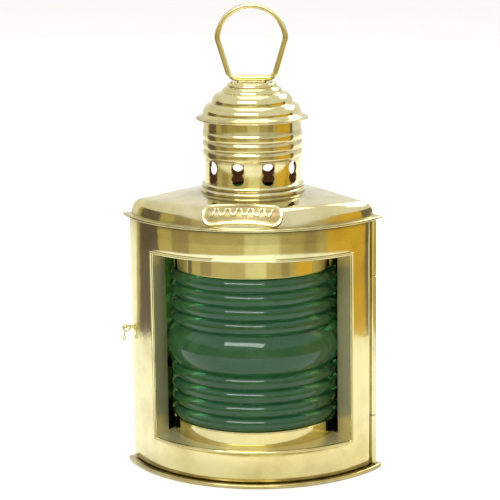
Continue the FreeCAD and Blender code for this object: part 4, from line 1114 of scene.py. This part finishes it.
@dataclass
class Chimney(Assembly):
    """Collar, ribbed and vented drum, stepped cap, sleeve and bail."""

    finishes: Finishes
    radius: float = 0.0306
    sheet: float = 0.0008
    collar_flare: float = 0.0023
    collar_height: float = 0.0056
    rib_low: float = 0.1976
    rib_pitch: float = 0.00565
    rib_round: float = 0.0054
    vent_radius: float = 0.0040
    vent_low: float = 0.1872
    vent_pitch: float = 0.0059
    vent_turn: float = 25.5
    vents: int = 10
    sleeve_half: float = 0.0090
    sleeve_radius: float = 0.0023
    bail_radius: float = 0.00175
    bail_straight: float = 0.0096
    bail_bend: float = 0.0056
    bail_side: float = 0.0203
    bail_knee: float = 0.0070
    edge_reach: float = 0.03475
    edge_drop: float = 0.0224
    splay: float = math.radians(73.0)
    kink: float = math.radians(98.0)

    def build(self) -> None:
        """Make every piece of the chimney."""
        self.collar()
        self.drum()
        self.cap()
        self.sleeve()
        self.bail()

    def collar(self) -> None:
        """The rolled collar at the foot of the drum."""
        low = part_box("chimney_collar")[0].z
        r = self.radius
        section = profile([(r, low - 0.0002), (r + self.collar_flare, low - 0.0002, 0.0022),
                           (r + 0.0010, low + 0.0026, 0.0018), (r + 0.0006, low + 0.0054),
                           (r, low + self.collar_height)], steps=10)
        section.append((r - 0.0001, low + 0.002))
        obj = Bench.lathe("chimney_collar_ring", section, closed=True, steps=128)
        self.hand_over(obj, Body.CASE, Slot.SPUN, self.finishes.spun, ("chimney_collar",), 40.0)

    def drum(self) -> None:
        """The drum with three ribs and a ring of figure-of-eight vents."""
        low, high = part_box("chimney_drum")
        corners: list = [(self.radius, low.z)]
        for rib in range(3):
            corners.append((self.radius, self.rib_low + rib * self.rib_pitch, self.rib_round))
        corners += [(self.radius, self.rib_low + 3 * self.rib_pitch), (self.radius, high.z)]
        obj = Bench.lathe("chimney_drum_sheet", profile(corners, steps=10), steps=160)
        Bench.face_away(obj, (0, 0, 0))
        Bench.thicken(obj, self.sheet)
        for level in (self.vent_low, self.vent_low + self.vent_pitch):
            cutters = []
            for k in range(self.vents):
                turn = math.radians(self.vent_turn + 360.0 / self.vents * k)
                Bench.clear()
                bpy.ops.mesh.primitive_cylinder_add(
                    vertices=40, radius=self.vent_radius, depth=0.014,
                    location=(self.radius * math.sin(turn), -self.radius * math.cos(turn), level),
                    rotation=(math.pi / 2, 0.0, turn))
                cutters.append(bpy.context.object)
            cutter = Bench.join(cutters)
            Bench.modify(obj, "BOOLEAN", operation="DIFFERENCE", object=cutter, solver="EXACT")
            bpy.data.objects.remove(cutter)
        self.hand_over(obj, Body.CASE, Slot.SPUN, self.finishes.spun, ("chimney_drum",), 32.0)
        obj.data.materials.append(self.finishes.scorched)
        for face in obj.data.polygons:
            if face.center.to_2d().dot(face.normal.to_2d()) < -0.2 * self.radius:
                face.material_index = 1

    def cap(self) -> None:
        """The stepped cap with its flared brim and wired edge."""
        low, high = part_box("chimney_cap")
        top = high.z
        corners = [(0.0, top), (0.0116, top, -0.003), (0.0157, top - 0.0027, -0.0045),
                   (0.0192, top - 0.0060, -0.0065), (0.0254, top - 0.0126, -0.0065),
                   (0.0309, top - 0.0190, 0.008), (0.0350, top - 0.0219)]
        obj = Bench.lathe("chimney_cap_shell", profile(corners, steps=9), steps=160)
        Bench.face_up(obj)
        Bench.thicken(obj, self.sheet)
        reach, spans = self.edge_reach, 120
        edge = [(reach * math.sin(math.tau * k / spans), -reach * math.cos(math.tau * k / spans),
                 top - self.edge_drop) for k in range(spans)]
        bead = Bench.wire("cap_edge_bead", edge, 0.00045, closed=True, resolution=3)
        skirt = Bench.lathe("cap_skirt", [(0.0298, low.z), (0.0298, top - 0.0180), (0.0290, top - 0.0180),
                                          (0.0290, low.z)], closed=True, steps=96)
        obj = Bench.join([obj, bead, skirt])
        self.hand_over(obj, Body.CASE, Slot.SPUN, self.finishes.spun, ("chimney_cap",), 24.0)

    def axis_height(self) -> float:
        """Height of the line that the bail swings about."""
        low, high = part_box("bail_sleeve")
        return (low.z + high.z) / 2

    def sleeve(self) -> None:
        """The rolled sleeve on the cap, with its solder."""
        height = self.axis_height()
        bore, outer, half, edge = 0.00183, self.sleeve_radius, self.sleeve_half, 0.0002
        section = [(bore, -half), (outer - edge, -half), (outer, -half + edge), (outer, half - edge),
                   (outer - edge, half), (bore, half)]
        obj = Bench.lathe("bail_sleeve_tube", section, closed=True, steps=48)
        Bench.turn(obj, Matrix.Translation((0, 0, height)) @ Matrix.Rotation(math.pi / 2, 4, "Y"))
        beads = []
        for side in (-1, 1):
            path = [(x * half * 0.9, side * 0.0015, height - outer + 0.0004 + 0.0001 * math.sin(x * 9.0))
                    for x in (-1.0, -0.6, -0.2, 0.2, 0.6, 1.0)]
            beads.append(Bench.wire(f"sleeve_solder_{side}", path, 0.0006, resolution=3))
        obj = Bench.join([obj] + beads)
        self.hand_over(obj, Body.CASE, Slot.WIRE, self.finishes.wire, ("bail_sleeve",), 40.0)

    def bail(self) -> None:
        """The bent wire bail, standing up."""
        height = self.axis_height()
        straight, bend, side, knee = self.bail_straight, self.bail_bend, self.bail_side, self.bail_knee
        bend_x = straight + bend * math.sin(self.splay)
        bend_z = height + bend * (1 - math.cos(self.splay))
        side_x, side_z = bend_x + side * math.cos(self.splay), bend_z + side * math.sin(self.splay)
        kink_x = side_x + knee * (math.sin(self.kink) - math.sin(self.splay))
        kink_z = side_z + knee * (math.cos(self.splay) - math.cos(self.kink))
        arch = kink_x / math.sin(self.kink)
        path = profile([(0.0, height), (straight, height, bend), (bend_x, bend_z), (side_x, side_z, knee),
                        (kink_x, kink_z, arch), (-kink_x, kink_z, knee), (-side_x, side_z),
                        (-bend_x, bend_z, bend), (-straight, height), (-0.0004, height)], steps=22)
        obj = Bench.wire("bail_wire", [(x, 0.0, z) for x, z in path], self.bail_radius, resolution=9)
        self.hand_over(obj, Body.BAIL, Slot.WIRE, self.finishes.wire, ("bail",), 60.0)


@dataclass
class Door(Assembly):
    """The curved door with its window, reveal, galleries and lens."""

    plan: Plan
    finishes: Finishes
    left: float = -64.2
    right: float = 59.4
    window_left: float = -43.0
    window_right: float = 47.5
    window_low: float = 0.0232
    window_high: float = 0.1414
    sheet: float = 0.0010
    bead: float = 0.00105
    lens_valley: float = 0.0510
    lens_bore: float = 0.0466
    lens_low: float = 0.0332
    pitch: float = 0.0088
    ring_round: float = 0.0050
    belt: float = 0.0260
    belt_round: float = 0.0180
    foot: float = 0.0060
    half_turn: float = math.radians(88.0)
    band_in: float = 0.0511
    band_out: float = 0.0519
    reveal_half: float = math.radians(77.0)
    solder: float = 0.00055

    def build(self) -> None:
        """Make every piece of the door."""
        self.panel()
        self.moulding()
        self.reveal()
        self.galleries()
        self.lens()
        self.refine("lens_clips", Body.DOOR, Slot.SHEET, self.finishes.inside, 0.0001)

    def panel(self) -> None:
        """The curved sheet with the window cut out."""
        low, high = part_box("door_panel")
        x, y = self.plan.on_front(self.plan.front, self.left)
        levels = (low.z, self.window_low, self.window_high, high.z)
        obj = Bench.trace("door_sheet", [(x, y, z) for z in levels])
        angles = (self.left, self.window_left, self.window_right, self.right)
        for start, end in zip(angles, angles[1:]):
            bpy.ops.mesh.spin(steps=max(8, int(end - start)), angle=math.radians(start - end),
                              center=(0, self.plan.centre_y, 0), axis=(0, 0, 1), use_auto_merge=False)
        Bench.heal()
        Bench.rest()

        def in_window(place: Vector) -> bool:
            turn = math.degrees(math.atan2(place.x, self.plan.centre_y - place.y))
            return (self.window_left < turn < self.window_right
                    and self.window_low < place.z < self.window_high)

        Bench.pick(obj, "FACE", in_window)
        bpy.ops.mesh.delete(type="FACE")
        Bench.rest()
        Bench.face_away(obj, (0, self.plan.centre_y, 0))
        Bench.thicken(obj, self.sheet)
        Bench.soften(obj, 0.00025, 2, 60.0)
        self.hand_over(obj, Body.DOOR, Slot.SHEET, self.finishes.door, ("door_panel",))

    def window_path(self, radius: float, out: float, steps: int = 90) -> list:
        """The window's outline on the round front.

        Args:
            radius: the radius that it lies on.
            out: how far it lies outside the opening.
            steps: spans along the top and the bottom.

        Returns:
            Points in space, closed.
        """
        over = math.degrees(out / self.plan.front)
        left, right = self.window_left - over, self.window_right + over
        low, high = self.window_low - out, self.window_high + out
        turns = [left + (right - left) * k / steps for k in range(steps + 1)]
        under = [self.plan.on_front(radius, turn) + (low,) for turn in turns]
        above = [self.plan.on_front(radius, turn) + (high,) for turn in turns]
        return under + above[::-1]

    def moulding(self) -> None:
        """The raised bead round the window."""
        path = self.window_path(self.plan.front + 0.0002, self.bead * 0.9)
        obj = Bench.wire("window_bead", path, self.bead, closed=True, resolution=4)
        self.hand_over(obj, Body.DOOR, Slot.SHEET, self.finishes.sheet, ("window_moulding",), 50.0)

    def reveal(self) -> None:
        """The sheet tunnel behind the window, with soldered corners."""
        obj = self.refine("window_reveal", Body.DOOR, Slot.SHEET, self.finishes.inside, 0.0, 20.0)
        obj.name = "window_reveal_sheet"
        deep = self.plan.front - self.sheet
        beads = []
        for side, turn in ((-1, self.window_left), (1, self.window_right)):
            ax, ay = self.plan.on_front(deep, turn)
            bx = side * self.band_out * math.sin(self.reveal_half)
            by = -self.band_out * math.cos(self.reveal_half)
            for level in (self.window_low, self.window_high):
                path = [(ax, ay, level), (ax + (bx - ax) * 0.5, ay + (by - ay) * 0.5, level),
                        (ax + (bx - ax) * 0.82, ay + (by - ay) * 0.82, level)]
                name = f"reveal_solder_{side}_{int(level * 1e4)}"
                beads.append(Bench.wire(name, path, self.solder, resolution=3))
        solder = Bench.join(beads)
        solder.name = "reveal_solder"
        self.hand_over(solder, Body.DOOR, Slot.SHEET, self.finishes.inside, (), 60.0)

    def galleries(self) -> None:
        """The curved bands that hold the lens at its top and bottom."""
        top = self.lens_low + 8 * self.pitch + self.belt
        inner, outer, ledge = self.band_in, self.band_out, self.lens_bore
        thick = outer - inner
        roll, edge = 0.0004, 0.0005
        for name, node, shelf, up in (("lower_gallery_band", "gallery_lower", self.lens_low - self.foot, 1),
                                      ("upper_gallery_band", "gallery_upper", top + self.foot, -1)):
            low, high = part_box(node)
            tip, root = (high.z, low.z) if up > 0 else (low.z, high.z)
            section = [(outer, root), (outer, tip - up * (edge + roll)), (outer + roll, tip - up * edge),
                       (outer, tip), (inner, tip), (inner, shelf), (ledge, shelf),
                       (ledge, shelf - up * thick), (inner, shelf - up * thick), (inner, root)]
            obj = Bench.lathe(name, section if up > 0 else section[:1] + section[:0:-1], closed=True,
                              steps=110, start=-self.half_turn, angle=2 * self.half_turn)
            self.hand_over(obj, Body.DOOR, Slot.SHEET, self.finishes.sheet, (node,))

    def lens(self) -> None:
        """The moulded lens: rings, centre belt and rings."""
        top = self.lens_low + 8 * self.pitch + self.belt
        valley, foot, bore = self.lens_valley, self.lens_valley - 0.0002, self.lens_bore
        corners: list = [(bore, top + self.foot), (foot, top + self.foot), (foot, top)]
        for ring in range(4):
            corners.append((valley, top - ring * self.pitch, -self.ring_round))
        corners.append((valley, top - 4 * self.pitch, -self.belt_round))
        for ring in range(4):
            corners.append((valley, self.lens_low + (4 - ring) * self.pitch, -self.ring_round))
        corners += [(valley, self.lens_low), (foot, self.lens_low), (foot, self.lens_low - self.foot),
                    (bore, self.lens_low - self.foot)]
        section = profile(corners, closed=True, steps=12)
        obj = Bench.lathe("ringed_lens", section, closed=True, steps=150, start=-self.half_turn,
                          angle=2 * self.half_turn)
        self.hand_over(obj, Body.DOOR, Slot.GLASS, self.finishes.glass, ("fresnel_lens",), 30.0)


@dataclass
class Hardware(Assembly):
    """Door hinge on the right and wire latch on the left."""

    finishes: Finishes
    hinge: tuple = (0.0760, -0.0109)
    barrel: float = 0.0023
    knuckle_low: float = 0.0346
    knuckle_high: float = 0.1250
    knuckle_gap: float = 0.0004
    leaf: float = 0.0009
    leaf_width: float = 0.0120
    eye: tuple = (-0.0809, -0.0114)
    level: float = 0.0880
    pivot: tuple = (-0.067889, 0.005288)
    reach: float = 0.0210

    def build(self) -> None:
        """Make the hinge and the latch."""
        low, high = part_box("case_hinge")
        self.hinge_half("case_hinge_half", "case_hinge", Body.CASE, 135.0, -0.00137,
                        ((low.z, self.knuckle_low), (self.knuckle_high, high.z)),
                        (0.0105, 0.1515))
        door = (self.knuckle_low + self.knuckle_gap, self.knuckle_high - self.knuckle_gap)
        self.hinge_half("door_hinge_half", "door_hinge", Body.DOOR, 238.4, -0.00123, (door,),
                        (low.z + 0.001, high.z - 0.001))
        self.pin()
        self.latch_eye()
        self.latch_hook()
        self.refine("latch_bracket", Body.CASE, Slot.WIRE, self.finishes.wire, 0.00015)

    def hinge_half(self, name: str, node: str, body: Body, turn: float, offset: float,
                   knuckles: Sequence[tuple], leaf: tuple) -> None:
        """Knuckles and the leaf they are rolled from.

        Args:
            name: the piece's name.
            node: the node that it stands for.
            body: the body that it rides on.
            turn: direction of the leaf, in degrees from +X.
            offset: how far the leaf stands off the axis.
            knuckles: lowest and highest level of each knuckle.
            leaf: lowest and highest level of the leaf.
        """
        frame = Matrix.Translation((*self.hinge, 0)) @ Matrix.Rotation(math.radians(turn), 4, "Z")
        parts = [Bench.box(name, (self.barrel - 0.0004, offset, leaf[0]),
                           (self.leaf_width, offset + self.leaf, leaf[1]))]
        Bench.soften(parts[0], 0.0002, 2)
        edge = 0.00022
        for low, high in knuckles:
            arm = Bench.box(name + "_arm", (0.0016, offset, low),
                            (self.barrel + 0.0006, offset + self.leaf, high))
            roll = Bench.lathe(name + "_knuckle", [(0.00125, low), (self.barrel - edge, low),
                                                   (self.barrel, low + edge), (self.barrel, high - edge),
                                                   (self.barrel - edge, high), (0.00125, high)],
                               closed=True, steps=40)
            parts += [arm, roll]
        obj = Bench.join(parts)
        Bench.turn(obj, frame)
        self.hand_over(obj, body, Slot.SHEET, self.finishes.sheet, (node,))

    def pin(self) -> None:
        """The hinge pin with domed heads."""
        low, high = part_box("hinge_pin")
        r = 0.0012
        section = [(0.0, low.z), (0.0015, low.z), (0.0019, low.z + 0.0002), (0.0019, low.z + 0.0005),
                   (r, low.z + 0.0005), (r, high.z - 0.0008), (0.0019, high.z - 0.0008),
                   (0.0018, high.z - 0.0004), (0.0010, high.z - 0.0001), (0.0, high.z)]
        obj = Bench.lathe("hinge_pin_rod", section, centre=(*self.hinge, 0.0), steps=32)
        self.hand_over(obj, Body.CASE, Slot.WIRE, self.finishes.wire, ("hinge_pin",), 40.0)

    def latch_eye(self) -> None:
        """The wire eye on the door's edge, with its shank."""
        frame = Matrix.Translation((*self.eye, self.level)) @ Matrix.Rotation(math.radians(22.5), 4, "Z")
        loop = [(0.00215 * math.cos(math.tau * k / 36), 0.0, 0.00215 * math.sin(math.tau * k / 36))
                for k in range(36)]
        ring = Bench.wire("latch_eye_ring", loop, 0.00065, closed=True, resolution=5)
        shank = Bench.wire("latch_eye_shank", [(0.0022, 0, 0), (0.0032, 0, 0), (0.0045, 0, 0)], 0.00065,
                           resolution=5)
        obj = Bench.join([ring, shank])
        Bench.turn(obj, frame)
        self.hand_over(obj, Body.DOOR, Slot.WIRE, self.finishes.wire, ("latch_eye",), 50.0)

    def latch_hook(self) -> None:
        """The wire hook: a loop on its pin, a shank, a prong and a curled tail."""
        frame = Matrix.Translation((*self.pivot, self.level)) @ Matrix.Rotation(math.radians(225), 4, "Z")
        end = self.reach
        loop = [(0.0016 * math.cos(math.tau * k / 32), 0.0016 * math.sin(math.tau * k / 32), 0.0)
                for k in range(32)]
        parts = [Bench.wire("latch_hook_wire", loop, 0.00052, closed=True, resolution=4)]
        shank = [(0.0020, 0, 0), (0.010, 0, 0), (end - 0.0011, 0, 0), (end - 0.0004, 0.0001, 0),
                 (end, 0.0006, 0), (end, 0.0029, 0)]
        parts.append(Bench.wire("latch_hook_shank", shank, 0.00055, resolution=4))
        drop, curl = 0.0069, 0.00115
        tail = [(end, 0.0, 0.0), (end, 0.0, -drop + curl)]
        tail += [(end + curl * math.sin(a), 0.0, -drop + curl * math.cos(a))
                 for a in [math.tau * k / 24 for k in range(1, 22)]]
        parts.append(Bench.wire("latch_hook_tail", tail, 0.00052, resolution=4))
        obj = Bench.join(parts)
        Bench.turn(obj, frame)
        self.hand_over(obj, Body.LATCH, Slot.WIRE, self.finishes.wire, ("latch_hook",), 60.0)


@dataclass
class Burner(Assembly):
    """The oil font, the burner on it and the wick with its winder."""

    finishes: Finishes
    fixed: tuple = ("font_ring", "oil_font", "filler_cap", "burner_collar", "burner_body", "burner_cone",
                    "wick_tube")
    turning: tuple = ("wick_shaft", "wick_knob")

    def build(self) -> None:
        """Make every piece of the lamp inside."""
        for node in self.fixed:
            self.refine(node, Body.CASE, Slot.BURNER, self.finishes.burner, 0.00015)
        for node in self.turning:
            self.refine(node, Body.WINDER, Slot.BURNER, self.finishes.burner, 0.00012)
        self.refine("wick", Body.WICK, Slot.COTTON, self.finishes.cotton, 0.0002)


@dataclass
class Studio:
    """Pale floor, soft lights and the camera."""

    camera_place: tuple = (0.1497, -1.1555, 0.3816)
    target: tuple = (-0.002365, -0.000311, 0.13752)
    lens: float = 135.65
    roll: float = math.radians(-0.693)
    ring_reach: tuple = (0.40, 1.25)
    ring_height: float = 0.50
    sectors: tuple = (
        ("card_tan", -118.0, 114.0, (0.40, 0.33, 0.13)),
        ("card_dark", -112.0, -86.0, (0.10, 0.08, 0.075)),
        ("card_shade", -70.0, -52.0, (0.26, 0.21, 0.09)),
        ("card_pale", -3.0, 24.0, (0.56, 0.53, 0.28)),
        ("card_shade_right", 44.0, 56.0, (0.28, 0.23, 0.10)),
        ("card_gold", 66.0, 104.0, (0.56, 0.35, 0.02)),
        ("card_dark_right", 104.0, 114.0, (0.13, 0.10, 0.07)),
    )

    def build(self) -> None:
        """Set the stage."""
        self.camera()
        self.floor()
        self.world()
        self.softbox("front_softbox", (-0.25, -1.7, 1.55), (1.9, 0.55), 30.0)
        self.softbox("back_softbox", (0.9, 1.3, 1.3), (1.2, 0.6), 12.0)
        self.softbox("top_softbox", (0.0, 0.2, 1.9), (1.2, 1.2), 9.0)
        self.ring_card()

    def ring_card(self) -> None:
        """A low ring of coloured card round the lamp that only its reflections see."""
        near, far = self.ring_reach
        start, end = (math.radians(turn) for turn in self.sectors[0][1:3])
        section = [(near, 0.002), (far, 0.003), (far + 0.05, self.ring_height)]
        ring = Bench.lathe("ring_card", section, steps=120, start=start, angle=end - start)
        for name, _, _, colour in self.sectors:
            shade = tuple(level * 0.8 for level in colour)
            ring.data.materials.append(FloorFinish(name, colour, shade).build())
        for face in ring.data.polygons:
            turn = math.degrees(math.atan2(face.center.x, -face.center.y))
            for k, (_, first, last, _) in enumerate(self.sectors):
                if first <= turn < last:
                    face.material_index = k
        ring.visible_camera = False
        ring.visible_diffuse = False
        ring.visible_shadow = False

    def camera(self) -> None:
        """The camera at the lamp's front, a little to the right and above."""
        place, target = Vector(self.camera_place), Vector(self.target)
        ahead = (target - place).normalized()
        right = ahead.cross(Vector((0, 0, 1))).normalized()
        up = right.cross(ahead)
        c, s = math.cos(self.roll), math.sin(self.roll)
        across, upright = right * c + up * s, up * c - right * s
        data = bpy.data.cameras.new("studio_camera")
        data.lens = self.lens
        data.sensor_width = 36.0
        data.clip_start = 0.01
        data.clip_end = 50.0
        camera = bpy.data.objects.new("studio_camera", data)
        bpy.context.scene.collection.objects.link(camera)
        camera.matrix_world = Matrix((
            (across.x, upright.x, -ahead.x, place.x), (across.y, upright.y, -ahead.y, place.y),
            (across.z, upright.z, -ahead.z, place.z), (0, 0, 0, 1)))
        bpy.context.scene.camera = camera

    def floor(self) -> None:
        """The pale sweep."""
        Bench.clear()
        bpy.ops.mesh.primitive_plane_add(size=12.0, location=(0, 0, 0))
        floor = bpy.context.object
        floor.name = "pale_floor"
        floor.data.materials.append(FloorFinish("pale_floor_finish").build())

    @staticmethod
    def world() -> None:
        """Soft even light from all round, seen without a filmic curve so that the pale floor stays pale."""
        world = bpy.data.worlds.new("studio_world")
        bpy.context.scene.world = world
        world.use_nodes = True
        background = world.node_tree.nodes["Background"]
        background.inputs["Color"].default_value = (1.0, 0.99, 0.98, 1.0)
        bpy.context.scene.view_settings.view_transform = "Standard"
        background.inputs["Strength"].default_value = 1.05

    def softbox(self, name: str, place: Point, size: tuple, power: float) -> None:
        """One oblong soft light aimed at the lamp.

        Args:
            name: the light's name.
            place: where it hangs.
            size: its width and height.
            power: its power in watts.
        """
        data = bpy.data.lights.new(name, "AREA")
        data.shape = "RECTANGLE"
        data.size, data.size_y = size
        data.energy = power
        lamp = bpy.data.objects.new(name, data)
        bpy.context.scene.collection.objects.link(lamp)
        aim = (Vector(self.target) - Vector(place)).to_track_quat("-Z", "Y").to_matrix().to_4x4()
        lamp.matrix_world = Matrix.Translation(place) @ aim


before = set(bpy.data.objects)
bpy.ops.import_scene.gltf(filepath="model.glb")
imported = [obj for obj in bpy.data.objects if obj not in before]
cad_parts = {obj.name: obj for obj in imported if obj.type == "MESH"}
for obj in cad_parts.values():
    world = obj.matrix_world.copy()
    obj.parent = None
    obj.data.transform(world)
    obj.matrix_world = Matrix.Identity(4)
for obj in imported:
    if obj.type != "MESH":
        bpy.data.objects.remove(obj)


def main() -> None:
    """Build the lamp on its frame; each new piece logs its face count."""
    logging.basicConfig(level=logging.INFO, format="%(message)s")
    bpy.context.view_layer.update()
    plan = Plan()
    finishes = Finishes.make()
    for assembly in (Case(plan, finishes), Chimney(finishes), Door(plan, finishes), Hardware(finishes),
                     Burner(finishes), Studio()):
        assembly.build()
    Bench.clear()


if __name__ == "__main__":
    main()
